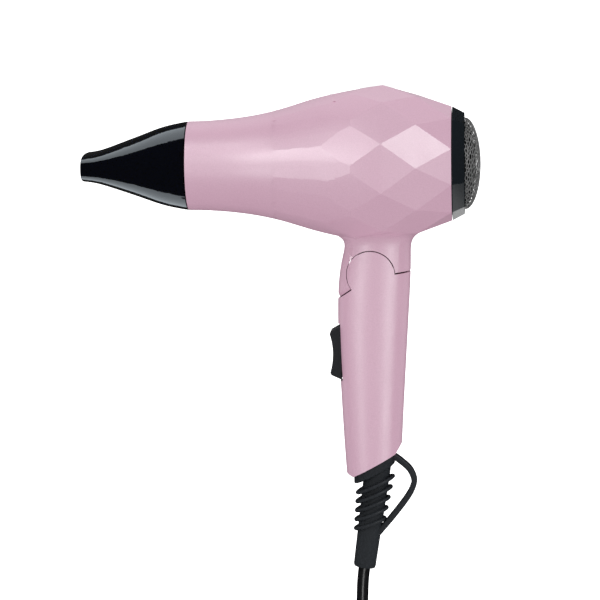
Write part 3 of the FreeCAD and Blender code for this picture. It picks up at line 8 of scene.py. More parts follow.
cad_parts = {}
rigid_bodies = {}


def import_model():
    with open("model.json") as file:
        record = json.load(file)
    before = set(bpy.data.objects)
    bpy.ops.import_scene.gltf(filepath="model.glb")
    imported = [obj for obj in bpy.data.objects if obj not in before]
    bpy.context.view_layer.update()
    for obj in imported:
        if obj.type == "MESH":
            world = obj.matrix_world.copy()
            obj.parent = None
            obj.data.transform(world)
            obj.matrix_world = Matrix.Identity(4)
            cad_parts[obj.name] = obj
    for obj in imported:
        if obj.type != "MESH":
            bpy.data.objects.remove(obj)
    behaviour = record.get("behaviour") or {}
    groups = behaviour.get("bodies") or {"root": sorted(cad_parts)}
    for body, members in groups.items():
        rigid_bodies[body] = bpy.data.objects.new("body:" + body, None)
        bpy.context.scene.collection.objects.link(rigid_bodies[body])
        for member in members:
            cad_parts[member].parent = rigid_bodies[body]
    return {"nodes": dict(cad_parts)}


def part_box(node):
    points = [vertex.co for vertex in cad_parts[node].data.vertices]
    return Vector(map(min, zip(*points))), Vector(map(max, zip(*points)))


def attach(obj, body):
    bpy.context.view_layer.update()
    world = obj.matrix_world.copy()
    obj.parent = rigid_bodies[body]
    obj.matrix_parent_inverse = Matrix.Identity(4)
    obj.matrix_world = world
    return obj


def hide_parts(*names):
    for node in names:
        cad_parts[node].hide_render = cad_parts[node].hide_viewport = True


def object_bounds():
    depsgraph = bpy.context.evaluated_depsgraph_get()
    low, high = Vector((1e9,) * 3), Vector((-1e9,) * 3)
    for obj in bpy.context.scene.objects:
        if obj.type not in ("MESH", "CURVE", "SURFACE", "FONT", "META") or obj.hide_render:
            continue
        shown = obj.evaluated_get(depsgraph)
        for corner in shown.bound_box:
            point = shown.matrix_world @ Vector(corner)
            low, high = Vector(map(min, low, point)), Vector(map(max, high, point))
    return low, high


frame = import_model()
cad_box = [list(corner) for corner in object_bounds()]


# ---- camera ---------------------------------------------------------------------------------------
# The dryer is seen square from its left side, through a long lens a metre and a half away. The lens
# stands a little above the grip and a little towards the air inlet, and leans by under a degree.

aim = Vector((-0.03871, 0.0, 0.04214))
azimuth, elevation, lean = math.radians(4.02), math.radians(6.54), math.radians(0.76)
away = Vector((math.sin(azimuth) * math.cos(elevation), -math.cos(azimuth) * math.cos(elevation),
               math.sin(elevation)))
camera = bpy.data.objects.new("camera", bpy.data.cameras.new("camera"))
bpy.context.scene.collection.objects.link(camera)
camera.data.lens = 164.6
camera.data.sensor_width = 36.0
camera.data.clip_end = 50.0
camera.location = aim + away * 1.426
camera.rotation_mode = "QUATERNION"
camera.rotation_quaternion = ((-away).to_track_quat("-Z", "Y")
                              @ Matrix.Rotation(-lean, 4, "Z").to_quaternion())
bpy.context.scene.camera = camera


# ---- mains cord -----------------------------------------------------------------------------------
# A black PVC flex, 6.2 mm across and 1.8 m long. It hangs from the strain relief, bends over on to
# the surface below and lies there in a neat coil of six turns in two layers, tied once, with its plug
# beside it.

def add(tree, kind, inputs=None, **settings):
    """Adds a node. An input is given by name or number, and takes a value or another node's output."""
    node = tree.nodes.new(kind)
    for key, value in settings.items():
        setattr(node, key, value)
    for key, value in (inputs or {}).items():
        if isinstance(value, bpy.types.NodeSocket):
            tree.links.new(value, node.inputs[key])
        else:
            node.inputs[key].default_value = value
    return node


def tone(red, green, blue):
    """A paint chip's colour, given in 8-bit steps, as the shader wants it."""
    return tuple(((c / 255 + 0.055) / 1.055) ** 2.4 if c > 10 else c / 255 / 12.92
                 for c in (red, green, blue)) + (1.0,)


def finish(name, dark, light, gloss, grain=1600.0, dents=0.00002, **shader):
    """A material: two tones mixed by a fine grain, gloss that wanders between two, and dents."""
    material = bpy.data.materials.new(name)
    material.use_nodes = True
    tree = material.node_tree
    principled = tree.nodes["Principled BSDF"]
    for socket, value in shader.items():
        principled.inputs[socket.replace("_", " ").title().replace("Ior", "IOR")].default_value = value
    place = add(tree, "ShaderNodeTexCoord").outputs["Object"]
    fine = add(tree, "ShaderNodeTexNoise", {"Vector": place, "Scale": grain, "Detail": 3.0,
                                            "Roughness": 0.6})
    broad = add(tree, "ShaderNodeTexNoise", {"Vector": place, "Scale": 55.0, "Detail": 4.0})
    spread = add(tree, "ShaderNodeMapRange", {"Value": fine.outputs["Fac"], "From Min": 0.32,
                                              "From Max": 0.68})
    mixed = add(tree, "ShaderNodeMix", {0: spread.outputs["Result"], 6: dark, 7: light},
                data_type="RGBA")
    tree.links.new(mixed.outputs[2], principled.inputs["Base Color"])
    wander = add(tree, "ShaderNodeMapRange", {"Value": broad.outputs["Fac"], "From Min": 0.3,
                                              "From Max": 0.7, "To Min": gloss[0], "To Max": gloss[1]})
    tree.links.new(wander.outputs["Result"], principled.inputs["Roughness"])
    if dents:
        bump = add(tree, "ShaderNodeBump", {"Height": fine.outputs["Fac"], "Strength": 0.5,
                                            "Distance": dents})
        tree.links.new(bump.outputs["Normal"], principled.inputs["Normal"])
    return material


cord_pvc = finish("cord_pvc", tone(14, 14, 16), tone(24, 24, 27), (0.30, 0.38), grain=900.0,
                  dents=0.00003, specular_ior_level=0.5)
cord_thick = 0.0062
lie = -0.1829
cord_points = [(-0.00662, 0.0, -0.09882), (-0.0075, 0.0, -0.1049), (-0.0079, 0.0, -0.116),
               (-0.0083, 0.0001, -0.1315), (-0.0092, 0.0002, -0.1485), (-0.0152, -0.0032, -0.164),
               (-0.0254, -0.0095, -0.1762), (-0.039, -0.0177, lie), (-0.0535, -0.0278, lie),
               (-0.0650, -0.0375, lie)]
# The turns step in on the lower layer, climb at the middle, and step out again on the upper one.
points_a_turn, coil_x, outer_radius = 16, -0.092, 0.0499
corner_cut = 0.981  # how far in the curve runs of its own points
steps = [(0.0, 1), (1.0, 1), (2.0, 1), (3.88, -1), (4.88, -1), (5.88, -1)]
for point in range(1, 6 * points_a_turn):
    turn = point / points_a_turn
    stepped = sum(way * min(max((turn - at) / 0.14, 0.0), 1.0) for at, way in steps)
    climb = cord_thick * min(max((turn - 3.0) / 0.12, 0.0), 1.0)
    angle = math.radians(-58.2) - 2 * math.pi * turn
    reach = (outer_radius - cord_thick * stepped) / corner_cut
    cord_points.append((coil_x + reach * math.cos(angle), reach * math.sin(angle),
                        lie + 0.001 + climb))
cord_points += [(-0.0660, -0.0415, lie + 0.0072), (-0.0845, -0.0508, lie + 0.0072),
                (-0.1060, -0.0522, lie + 0.0046), (-0.1254, -0.0445, lie + 0.0012),
                (-0.1400, -0.0264, lie + 0.0002), (-0.1450, -0.004, lie), (-0.1415, 0.0186, lie),
                (-0.1290, 0.0385, lie), (-0.1096, 0.0502, lie), (-0.089, 0.0524, lie),
                (-0.07, 0.0514, lie + 0.0001), (-0.0525, 0.0506, lie + 0.0026),
                (-0.035, 0.0503, lie + 0.0076), (-0.017, 0.0502, lie + 0.0089)]
cord_line = bpy.data.curves.new("mains_cord", "CURVE")
cord_line.dimensions = "3D"
spline = cord_line.splines.new("NURBS")
spline.points.add(len(cord_points) - 1)
for knot, place in zip(spline.points, cord_points):
    knot.co = (*place, 1.0)
spline.order_u = 3
spline.use_endpoint_u = True
cord_line.resolution_u = 5
cord_line.bevel_depth = cord_thick / 2
cord_line.bevel_resolution = 4
cord_line.use_fill_caps = True
cord_line.materials.append(cord_pvc)
mains_cord = bpy.data.objects.new("mains_cord", cord_line)
bpy.context.scene.collection.objects.link(mains_cord)
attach(mains_cord, "handle")
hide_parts("cord_lead", "cord_coil", "cord_tail")


# ---- mains plug -----------------------------------------------------------------------------------
# A moulded black plug with two round brass pins, 19 mm apart. Its body is one piece of rubbery PVC
# with the cord moulded in, waisted where the fingers pull.

def paint(material, *names):
    """Gives CAD nodes their material."""
    for name in names:
        node = frame["nodes"][name]
        node.data.materials.clear()
        node.data.materials.append(material)


plug_pvc = finish("plug_pvc", tone(26, 28, 31), tone(38, 40, 44), (0.42, 0.55), grain=1200.0,
                  dents=0.00005, specular_ior_level=0.45)
brass = finish("brass", (0.62, 0.44, 0.18, 1), (0.72, 0.53, 0.24, 1), (0.24, 0.36), grain=2400.0,
               dents=0.000008, metallic=1.0)
paint(plug_pvc, "plug_body")
paint(brass, "plug_pins", "motor_terminals", "switch_tabs", "motor_bearings")


# ---- cord tie -------------------------------------------------------------------------------------
# A strip of black hook-and-loop tape, 9 mm wide, closed round all the turns on the far side from the
# plug.

tape = finish("tape", tone(18, 18, 20), tone(48, 48, 52), (0.8, 0.95), grain=3000.0, dents=0.0002,
              sheen_weight=0.4)
paint(tape, "cord_tie")


# ---- strain relief --------------------------------------------------------------------------------
# A charcoal rubber moulding that leans forward under the handle: a collar cut to the handle's slanted
# foot, a tapered sleeve, five thin slanted ribs that let it flex, and a flat strap that loops out to the
# rear, to hang the dryer from.

rubber = finish("relief_rubber", tone(36, 39, 43), tone(48, 52, 57), (0.38, 0.48), grain=1500.0,
                dents=0.00005, specular_ior_level=0.42)


def piece_of(name, mesh, body, material, *nodes, slot=None):
    """Makes an object of a finished mesh, rides it on a body and lets it stand for its CAD nodes."""
    mesh.name = name
    mesh.materials.clear()
    mesh.materials.append(material)
    made = bpy.data.objects.new(name, mesh)
    bpy.context.scene.collection.objects.link(made)
    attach(made, body)
    if nodes:
        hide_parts(*nodes)
    return made


def rings_mesh(rings):
    """A skin over rings of points that follow each other, with both ends closed."""
    work = bmesh.new()
    rows = [[work.verts.new(p) for p in ring] for ring in rings]
    for low, high in zip(rows, rows[1:]):
        for i in range(len(low)):
            j = (i + 1) % len(low)
            work.faces.new((low[i], low[j], high[j], high[i]))
    work.faces.new(reversed(rows[0]))
    work.faces.new(rows[-1])
    bmesh.ops.recalc_face_normals(work, faces=work.faces)
    mesh = bpy.data.meshes.new("rings")
    work.to_mesh(mesh)
    work.free()
    mesh.shade_smooth()
    mesh.set_sharp_from_angle(angle=math.radians(40))
    return mesh


relief_lean = math.radians(8.1)


def relief_at(z):
    """Where the strain relief's leaning middle line is at a height."""
    return 0.0001 + math.tan(relief_lean) * (z + 0.0516)


def oval_ring(x, z, half_x, half_y, slope, count=64):
    """A ring round the strain relief whose plane rises towards the rear by slope."""
    return [Vector((x + half_x * math.cos(t), half_y * math.sin(t),
                    z + half_x * math.cos(t) * math.tan(slope)))
            for t in (2 * math.pi * i / count for i in range(count))]


(front_x, front_z), (rear_x, rear_z) = (-0.0117, -0.0498), (0.0105, -0.0377)
foot = math.atan2(rear_z - front_z, rear_x - front_x)


def foot_z(x):
    """The height of the handle's slanted foot at a place along it."""
    return front_z + (x - front_x) * math.tan(foot)


collar_x = -0.0008
collar_rings = []
for inset, drop in ((0.0004, 0.0), (0.0, -0.0001), (0.0, -0.0046), (0.0003, -0.0051),
                    (0.0010, -0.0055), (0.0040, -0.0056)):
    slope = foot - (0.03 if drop < -0.004 else 0.0)
    collar_rings.append(oval_ring(collar_x, foot_z(collar_x) + drop, 0.01075 - inset, 0.0096 - inset,
                                  slope))
collar = rings_mesh(collar_rings)
sleeve_rings = []
for z, radius in ((-0.0420, 0.0067), (-0.0516, 0.0067), (-0.0640, 0.00645), (-0.0788, 0.0061),
                  (-0.0900, 0.0059), (-0.0974, 0.00575), (-0.0982, 0.0056), (-0.0987, 0.0052),
                  (-0.0989, 0.0045), (-0.0989, 0.0034)):
    sleeve_rings.append(oval_ring(relief_at(z), z, radius, radius, -relief_lean))
sleeve = rings_mesh(sleeve_rings)
piece_of("relief_collar", collar, "handle", rubber, "strain_relief", slot="rubber")
piece_of("relief_sleeve", sleeve, "handle", rubber, slot="rubber")


def new_tree(name, **inputs):
    """A Geometry Nodes tree with named number inputs; returns it with its input and output nodes."""
    tree = bpy.data.node_groups.new(name, "GeometryNodeTree")
    tree.interface.new_socket(name="Geometry", in_out="OUTPUT", socket_type="NodeSocketGeometry")
    for label, value in inputs.items():
        kind = "NodeSocketInt" if isinstance(value, int) else "NodeSocketFloat"
        made = tree.interface.new_socket(name=label.replace("_", " "), in_out="INPUT",
                                         socket_type=kind)
        made.default_value = value
    return tree, add(tree, "NodeGroupInput"), add(tree, "NodeGroupOutput")


def grown(name, tree, body, material, *nodes, slot=None, **sizes):
    """Runs a tree on an empty mesh with the sizes given, and keeps the plain mesh that comes out."""
    holder = bpy.data.objects.new(name + "_maker", bpy.data.meshes.new(name + "_maker"))
    bpy.context.scene.collection.objects.link(holder)
    modifier = holder.modifiers.new("maker", "NODES")
    modifier.node_group = tree
    for label, value in sizes.items():
        modifier[tree.interface.items_tree[label.replace("_", " ")].identifier] = value
    bpy.context.view_layer.update()
    ready = holder.evaluated_get(bpy.context.evaluated_depsgraph_get())
    mesh = bpy.data.meshes.new_from_object(ready)
    bpy.data.objects.remove(holder)
    return piece_of(name, mesh, body, material, *nodes, slot=slot)


def end_tree(tree, geometry, result, material):
    """Ends a tree the way the export needs it: made real, shaded smooth, and with its material."""
    real = add(tree, "GeometryNodeRealizeInstances", {"Geometry": geometry})
    smooth = add(tree, "GeometryNodeSetShadeSmooth", {"Geometry": real.outputs["Geometry"]})
    filled = add(tree, "GeometryNodeSetMaterial", {"Geometry": smooth.outputs["Geometry"],
                                                   "Material": material})
    tree.links.new(filled.outputs["Geometry"], result.inputs["Geometry"])


def math_node(tree, operation, first, second=0.0):
    return add(tree, "ShaderNodeMath", {0: first, 1: second}, operation=operation).outputs[0]


def vector_node(tree, x=0.0, y=0.0, z=0.0):
    return add(tree, "ShaderNodeCombineXYZ", {"X": x, "Y": y, "Z": z}).outputs[0]


tree, given, result = new_tree("slanted_ribs", Ribs=5, Pitch=0.00516, Reach=0.0113, Thickness=0.0019,
                               Depth=0.0056, Slope=0.433, Slope_step=0.0227, Shrink=0.0487, Lean=0.1423)
line = add(tree, "GeometryNodeMeshLine", {"Count": given.outputs["Ribs"], "Offset": vector_node(
    tree, math_node(tree, "MULTIPLY", given.outputs["Pitch"],
                    math_node(tree, "MULTIPLY", given.outputs["Lean"], -1.0)), 0.0,
    math_node(tree, "MULTIPLY", given.outputs["Pitch"], -1.0))})
number = add(tree, "GeometryNodeInputIndex").outputs[0]
middle = math_node(tree, "SUBTRACT", given.outputs["Reach"],
                   math_node(tree, "MULTIPLY", given.outputs["Depth"], 0.5))
around = add(tree, "GeometryNodeCurvePrimitiveCircle", {"Resolution": 64, "Radius": middle})
squeezed = add(tree, "GeometryNodeTransform", {"Geometry": around.outputs["Curve"],
                                               "Scale": (1.0, 0.8, 1.0)})
edge = add(tree, "GeometryNodeCurvePrimitiveQuadrilateral", {
    "Width": given.outputs["Depth"], "Height": given.outputs["Thickness"]})
edge_shape = add(tree, "GeometryNodeFilletCurve", {
    "Curve": edge.outputs["Curve"], "Count": 5,
    "Radius": math_node(tree, "MULTIPLY", given.outputs["Thickness"], 0.47)}, mode="POLY")
rib = add(tree, "GeometryNodeCurveToMesh", {"Curve": squeezed.outputs["Geometry"],
                                            "Profile Curve": edge_shape.outputs["Curve"]})
tilt = math_node(tree, "SUBTRACT", math_node(tree, "MULTIPLY", number, given.outputs["Slope step"]),
                 given.outputs["Slope"])
smaller = math_node(tree, "SUBTRACT", 1.0, math_node(tree, "MULTIPLY", number, given.outputs["Shrink"]))
placed = add(tree, "GeometryNodeInstanceOnPoints", {
    "Points": line.outputs["Mesh"], "Instance": rib.outputs["Mesh"],
    "Rotation": vector_node(tree, 0.0, tilt, 0.0), "Scale": vector_node(tree, smaller, smaller, 1.0)})
top_rib_z = -0.0549
moved = add(tree, "GeometryNodeTransform", {
    "Geometry": placed.outputs["Instances"],
    "Translation": (relief_at(top_rib_z) - 0.0001, 0.0, top_rib_z)})
end_tree(tree, moved.outputs["Geometry"], result, rubber)
grown("relief_ribs", tree, "handle", rubber, slot="rubber")


def smooth_run(points, steps=10):
    """Points on a smooth line through the ones given, and the line's direction at each."""
    ends = [2 * points[0] - points[1]] + points + [2 * points[-1] - points[-2]]
    run = []
    for p, q, r, t in zip(ends, ends[1:], ends[2:], ends[3:]):
        for k in range(steps):
            u = k / steps
            run.append(0.5 * (2 * q + (r - p) * u + (2 * p - 5 * q + 4 * r - t) * u * u
                              + (3 * q - p - 3 * r + t) * u * u * u))
    run.append(points[-1])
    ways = [(b - a).normalized() for a, b in zip([run[0]] + run, run[1:] + [run[-1]])]
    return run, ways


loop_points = [(7.0, -38.6), (9.8, -40.1), (13.8, -43.1), (17.7, -46.9), (19.8, -51.8), (19.3, -55.7),
               (16.4, -61.3), (9.3, -70.7), (0.4, -81.2), (-1.4, -83.4)]
corner_round = 0.0006
corners = [(sx * (0.0009 + corner_round * math.cos(math.radians(a))),
            sy * (0.00265 + corner_round * math.sin(math.radians(a))))
           for sx, sy, angles in ((1, 1, (0, 30, 60, 90)), (-1, 1, (90, 60, 30, 0)),
                                  (-1, -1, (0, 30, 60, 90)), (1, -1, (90, 60, 30, 0))) for a in angles]
strap_run, strap_ways = smooth_run([Vector((x * 0.001, 0.0, z * 0.001)) for x, z in loop_points])
strap = rings_mesh([[place + way.cross(Vector((0, 1, 0))) * thick + Vector((0, wide, 0))
                     for thick, wide in corners] for place, way in zip(strap_run, strap_ways)])
piece_of("hanging_strap", strap, "handle", rubber, slot="rubber")


# ---- barrel casing --------------------------------------------------------------------------------
# Two halves of moulded ABS, joined along the middle plane and sprayed with satin pearl pink lacquer.
# The round front tube swells into ten flat diamonds a row, and the front row runs out softly into it.
# The neck below ends in the tongue and knuckles of the hinge.

def shell_copy(name, node, body, material, sharp=24.0, rounded=0.0, limit=40.0, slot=None,
               reshape=None):
    """A copy of a CAD node with its flat areas made whole, reshaped or with rounded edges if asked."""
    mesh = frame["nodes"][node].data.copy()
    for label in [a.name for a in mesh.attributes if "normal" in a.name]:
        mesh.attributes.remove(mesh.attributes[label])
    work = bmesh.new()
    work.from_mesh(mesh)
    bmesh.ops.remove_doubles(work, verts=work.verts, dist=0.000002)
    bmesh.ops.dissolve_degenerate(work, dist=0.000002, edges=work.edges)
    bmesh.ops.dissolve_limit(work, angle_limit=math.radians(0.3), use_dissolve_boundaries=False,
                             verts=work.verts, edges=work.edges)
    if reshape:
        reshape(work)
    work.to_mesh(mesh)
    work.free()
    mesh.shade_smooth()
    mesh.set_sharp_from_angle(angle=math.radians(sharp))
    made = piece_of(name, mesh, body, material, node, slot=slot)
    if rounded:
        bevel = made.modifiers.new("rounded_edges", "BEVEL")
        bevel.width = rounded
        bevel.segments = 2
        bevel.limit_method = "ANGLE"
        bevel.angle_limit = math.radians(limit)
        bevel.use_clamp_overlap = False
        bevel.miter_outer = "MITER_ARC"
    weigh = made.modifiers.new("even_shading", "WEIGHTED_NORMAL")
    weigh.keep_sharp = True
    return made


barrel_axis_z = 0.1125
tube_profile = [(-0.0954, 0.0230), (-0.0750, 0.0240), (-0.0500, 0.0282), (-0.0310, 0.0339),
                (-0.0155, 0.0383), (0.0, 0.0422), (0.0155, 0.0458)]
fade = 0.0022  # how near the tube and a diamond come before they blend


def spline_bends(points):
    """Second derivatives of the natural cubic spline through some points."""
    count = len(points)
    bends, carry = [0.0] * count, [0.0] * count
    for i in range(1, count - 1):
        (x0, y0), (x1, y1), (x2, y2) = points[i - 1:i + 2]
        ratio = (x1 - x0) / (x2 - x0)
        share = ratio * bends[i - 1] + 2
        bends[i] = (ratio - 1) / share
        slope = (y2 - y1) / (x2 - x1) - (y1 - y0) / (x1 - x0)
        carry[i] = (6 * slope / (x2 - x0) - ratio * carry[i - 1]) / share
    bends[-1] = 0.0
    for i in range(count - 2, -1, -1):
        bends[i] = bends[i] * bends[i + 1] + carry[i]
    return bends


tube_bends = spline_bends(tube_profile)


def tube_radius(x):
    """The tube's radius at a place along it, on a smooth line through the profile."""
    i = min(max(sum(x > at for at, r in tube_profile) - 1, 0), len(tube_profile) - 2)
    (x0, r0), (x1, r1) = tube_profile[i], tube_profile[i + 1]
    span = x1 - x0
    a, b = (x1 - x) / span, (x - x0) / span
    return (a * r0 + b * r1 + ((a ** 3 - a) * tube_bends[i] + (b ** 3 - b) * tube_bends[i + 1])
            * span * span / 6)


def outward(place):
    """How far a place is from the barrel's middle line, and which way."""
    out = Vector((0, place[1], place[2] - barrel_axis_z))
    return out.length, out.normalized()


def flat_planes(work):
    """The planes of the diamonds, read off their large flat faces."""
    planes = []
    for face in work.faces:
        middle = face.calc_center_median()
        radius, out = outward(middle)
        if (face.calc_area() > 0.000012 and -0.035 < middle.x < 0.0406 and radius > 0.024
                and face.normal.dot(out) > 0.6 and middle.z > 0.072):
            planes.append((face.normal.copy(), face.normal.dot(middle - Vector((0, 0, barrel_axis_z)))))
    return planes


def nearest_plane(planes, x, out):
    """The diamond that lies nearest to the middle line in a direction, and how far out it is."""
    reach = [((depth - n.x * x) / n.dot(out), n) for n, depth in planes if n.dot(out) > 0.3]
    return min(reach, key=lambda found: found[0]) if reach and x > -0.05 else (1.0, None)


def fade_diamonds(work):
    """Lets the front row of diamonds run out softly into the round tube ahead of them."""
    planes = flat_planes(work)

    def on_skin(vert):
        radius, out = outward(vert.co)
        if not (-0.055 < vert.co.x < 0.030) or radius < 0.02:
            return None
        tube, flat = tube_radius(vert.co.x), nearest_plane(planes, vert.co.x, out)[0]
        return (tube, flat, out) if abs(radius - min(tube, flat)) < 0.0003 else None

    def zone():
        found = []
        for face in work.faces:
            middle = face.calc_center_median()
            if -0.052 < middle.x < 0.012 and face.normal.dot(outward(middle)[1]) > 0.5 and all(
                    on_skin(v) for v in face.verts):
                found.append(face)
        return found

    def each(found):
        """Every edge or corner once, in the order met, so that each run gives the same mesh."""
        return list(dict.fromkeys(found))

    bmesh.ops.triangulate(work, faces=zone())
    for turn in range(8):
        faces = zone()
        long_edges = each(e for f in faces for e in f.edges if e.calc_length() > 0.0019)
        if not long_edges:
            break
        bmesh.ops.subdivide_edges(work, edges=long_edges, cuts=1)
        bmesh.ops.triangulate(work, faces=[f for f in zone() if len(f.verts) > 3])
    bmesh.ops.remove_doubles(work, verts=each(v for f in zone() for v in f.verts), dist=0.00015)
    faces = zone()
    inner = each(e for f in faces for e in f.edges
                 if len(e.link_faces) == 2 and e.calc_face_angle(1.0) < 0.02)
    bmesh.ops.beautify_fill(work, faces=faces, edges=inner, method="ANGLE")
    moves = []
    for vert in each(v for f in zone() for v in f.verts):
        tube, flat, out = on_skin(vert)
        share = max(fade - abs(tube - flat), 0.0) / fade
        moves.append((vert, out * (share * share * fade / 4)))
    for vert, step in moves:
        vert.co -= step
    return planes


def smooth_skin(made, planes):
    """Shades the tube as truly round, and the diamonds' front edges as melting into it."""
    depth_of = {normal.freeze(): depth for normal, depth in planes}
    ready = made.evaluated_get(bpy.context.evaluated_depsgraph_get())
    even = bpy.data.meshes.new_from_object(ready)
    normals = [corner.vector.copy() for corner in even.corner_normals]
    mesh = made.data
    for face in mesh.polygons:
        radius, out = outward(face.center)
        x = face.center.x
        # The neck's own skin keeps its shading.
        near_neck = face.center.z < 0.084 and x > -0.024 and abs(face.center.y) < 0.022
        if not -0.0949 < x < 0.012 or face.normal.dot(out) < 0.5 or near_neck:
            continue
        flat, plane = nearest_plane(planes, x, out)
        if abs(radius - min(tube_radius(x), flat)) > 0.0009:
            continue
        for corner in face.loop_indices:
            place = mesh.vertices[mesh.loops[corner].vertex_index].co
            out = outward(place)[1]
            tube = tube_radius(place.x)
            slope = (tube_radius(place.x + 0.0002) - tube_radius(place.x - 0.0002)) / 0.0004
            normal = out + Vector((-slope, 0, 0))
            if plane:
                flat = (depth_of[plane] - plane.x * place.x) / plane.dot(out)
                round_share = min(max(0.5 + 0.5 * (flat - tube) / (2.2 * fade), 0.0), 1.0)
                normal = normal * round_share + plane / plane.dot(out) * (1 - round_share)
            normals[corner] = normal.normalized()
    made.modifiers.remove(made.modifiers["even_shading"])
    mesh.normals_split_custom_set(normals)
    bpy.data.meshes.remove(even)


pearl = finish("pearl_pink", tone(214, 167, 190), tone(223, 177, 200), (0.40, 0.47), grain=1800.0,
               dents=0.000014, coat_weight=0.3, coat_roughness=0.34, specular_ior_level=1.0,
               specular_tint=(0.86, 1.0, 0.93, 1.0))
for side in ("left", "right"):
    found = []
    skin = shell_copy("barrel_skin_" + side, "barrel_" + side, "barrel", pearl, sharp=6.0, slot="casing",
                      reshape=lambda work: found.extend(fade_diamonds(work)))
    smooth_skin(skin, found)


# ---- handle casing --------------------------------------------------------------------------------
# Two more halves of the same lacquered ABS. They taper to a slanted foot, and open at the top into two
# round cheeks that hold the barrel's knuckle between them.

hinge_x, hinge_z, cheek_radius, cheek_ease = -0.0014, 0.0562, 0.0124, 0.00022


def ease_cheeks(work):
    """Eases the top of the cheeks' round edges back a little, so that the gap there reads as dark."""
    for vert in work.verts:
        arm = Vector((vert.co.x - hinge_x, 0, vert.co.z - hinge_z))
        on_top = arm.z > 0.35 * arm.length and arm.x > -0.5 * arm.length
        if abs(arm.length - cheek_radius) < 0.00006 and on_top:
            vert.co -= arm.normalized() * cheek_ease


for side in ("left", "right"):
    shell_copy("handle_skin_" + side, "handle_" + side, "handle", pearl, slot="casing",
               reshape=ease_cheeks)


# ---- hinge ----------------------------------------------------------------------------------------
# A steel pin through the knuckle and both cheeks, with a nylon washer on each side of the knuckle whose
# grip holds the handle where it is put.

steel = finish("steel", (0.50, 0.51, 0.53, 1), (0.62, 0.63, 0.65, 1), (0.22, 0.34), grain=2600.0,
               dents=0.000006, metallic=1.0)
nylon = finish("black_nylon", tone(20, 21, 23), tone(30, 31, 33), (0.5, 0.62), grain=1400.0)
paint(steel, "hinge_pin", "barrel_screws", "handle_screws", "clamp_screws", "thermal_fuse", "motor_can",
      "motor_shaft")
paint(nylon, "friction_washers", "cord_clamp", "motor_end_cap", "mesh_retainer")


# ---- nozzle ---------------------------------------------------------------------------------------
# A concentrator moulded in black polycarbonate and left glossy. Its round skirt sits on the collar and
# it narrows to a flat slot. It turns freely, and pulls off forwards.

gloss_black = finish("gloss_black", (0.0004, 0.0006, 0.0024, 1), (0.0008, 0.0012, 0.0036, 1),
                     (0.06, 0.10), grain=700.0, dents=0.0, coat_weight=1.0, coat_roughness=0.03,
                     specular_ior_level=0.6)
shell_copy("nozzle_shell", "nozzle", "nozzle", gloss_black, sharp=30.0, slot="gloss_black")


# ---- outlet ring and collar -----------------------------------------------------------------------
# The black glass-filled nylon ring that closes the barrel's front, with its spigot and the bars that
# keep fingers out, and the collar that turns on the spigot under the nozzle.

hot_nylon = finish("hot_nylon", tone(16, 17, 19), tone(30, 31, 34), (0.45, 0.6), grain=2000.0,
                   dents=0.00004)
paint(hot_nylon, "outlet_ring", "nozzle_collar", "fan_housing", "fan")


# ---- rear ring ------------------------------------------------------------------------------------
# A ten-sided ring in glossy blue-black plastic that carries the barrel's facets on to the air inlet.

blue_black = finish("blue_black", (0.006, 0.009, 0.012, 1), (0.009, 0.012, 0.016, 1), (0.16, 0.22),
                    grain=1500.0, dents=0.000004, coat_weight=0.6, coat_roughness=0.08)


def close_up(work):
    """Brings the ring's front edge up to the casing."""
    edge_depth, step = 0.0004, 0.00025
    front = min(vert.co.x for vert in work.verts)
    for vert in work.verts:
        if vert.co.x < front + edge_depth:
            vert.co.x -= step


shell_copy("rear_ring_shell", "rear_ring", "barrel", blue_black, sharp=12.0, rounded=0.0003,
           limit=25.0, slot="rear_ring", reshape=close_up)


# ---- inlet mesh -----------------------------------------------------------------------------------
# A shallow dome of expanded metal, plated silver: an irregular net of thin strands with holes of about
# two millimetres, pressed into a rim behind the rear ring, with a soft black foam pad behind it.

foam = finish("black_foam", (0.002, 0.002, 0.002, 1), (0.012, 0.012, 0.012, 1), (0.9, 1.0),
              grain=1500.0, dents=0.0004)
plated = finish("plated_wire", (0.28, 0.28, 0.285, 1), (0.54, 0.54, 0.54, 1), (0.26, 0.36),
                grain=2500.0, dents=0.00002, metallic=0.6)
pad_front, pad_rim, pad_rise, pad_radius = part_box("inlet_filter")[0][0], 0.0461, 0.0069, 0.0224
pad_rings = [[Vector((x, r * math.cos(t), barrel_axis_z + r * math.sin(t)))
              for t in (2 * math.pi * i / 64 for i in range(64))]
             for x, r in [(pad_front, pad_radius)]
             + [(pad_rim + pad_rise * math.cos(math.radians(a)), pad_radius * math.sin(math.radians(a)))
                for a in (90, 80, 70, 60, 50, 40, 30, 20, 10, 2)]]
piece_of("filter_pad", rings_mesh(pad_rings), "barrel", foam, "inlet_filter", slot="rubber")
tree, given, result = new_tree("metal_net", Radius=0.0234, Rise=0.0079, Cell=0.0021, Strand=0.00050,
                               Rim_x=0.0473, Axis_z=0.1125, Shake=0.75, Seed=7)
cells = math_node(tree, "DIVIDE", math_node(tree, "MULTIPLY", given.outputs["Radius"], 3.0),
                  given.outputs["Cell"])
side = math_node(tree, "MULTIPLY", given.outputs["Radius"], 3.0)
grid = add(tree, "GeometryNodeMeshGrid", {"Size X": side, "Size Y": side, "Vertices X": cells,
                                          "Vertices Y": cells})
shaken = add(tree, "FunctionNodeRandomValue", {"Min": (-0.5, -0.5, 0.0), "Max": (0.5, 0.5, 0.0),
                                               "Seed": given.outputs["Seed"]}, data_type="FLOAT_VECTOR")
shake = add(tree, "ShaderNodeVectorMath", {0: shaken.outputs[0], "Scale": math_node(
    tree, "MULTIPLY", given.outputs["Cell"], given.outputs["Shake"])}, operation="SCALE")
jittered = add(tree, "GeometryNodeSetPosition", {"Geometry": grid.outputs["Mesh"],
                                                 "Offset": shake.outputs[0]})
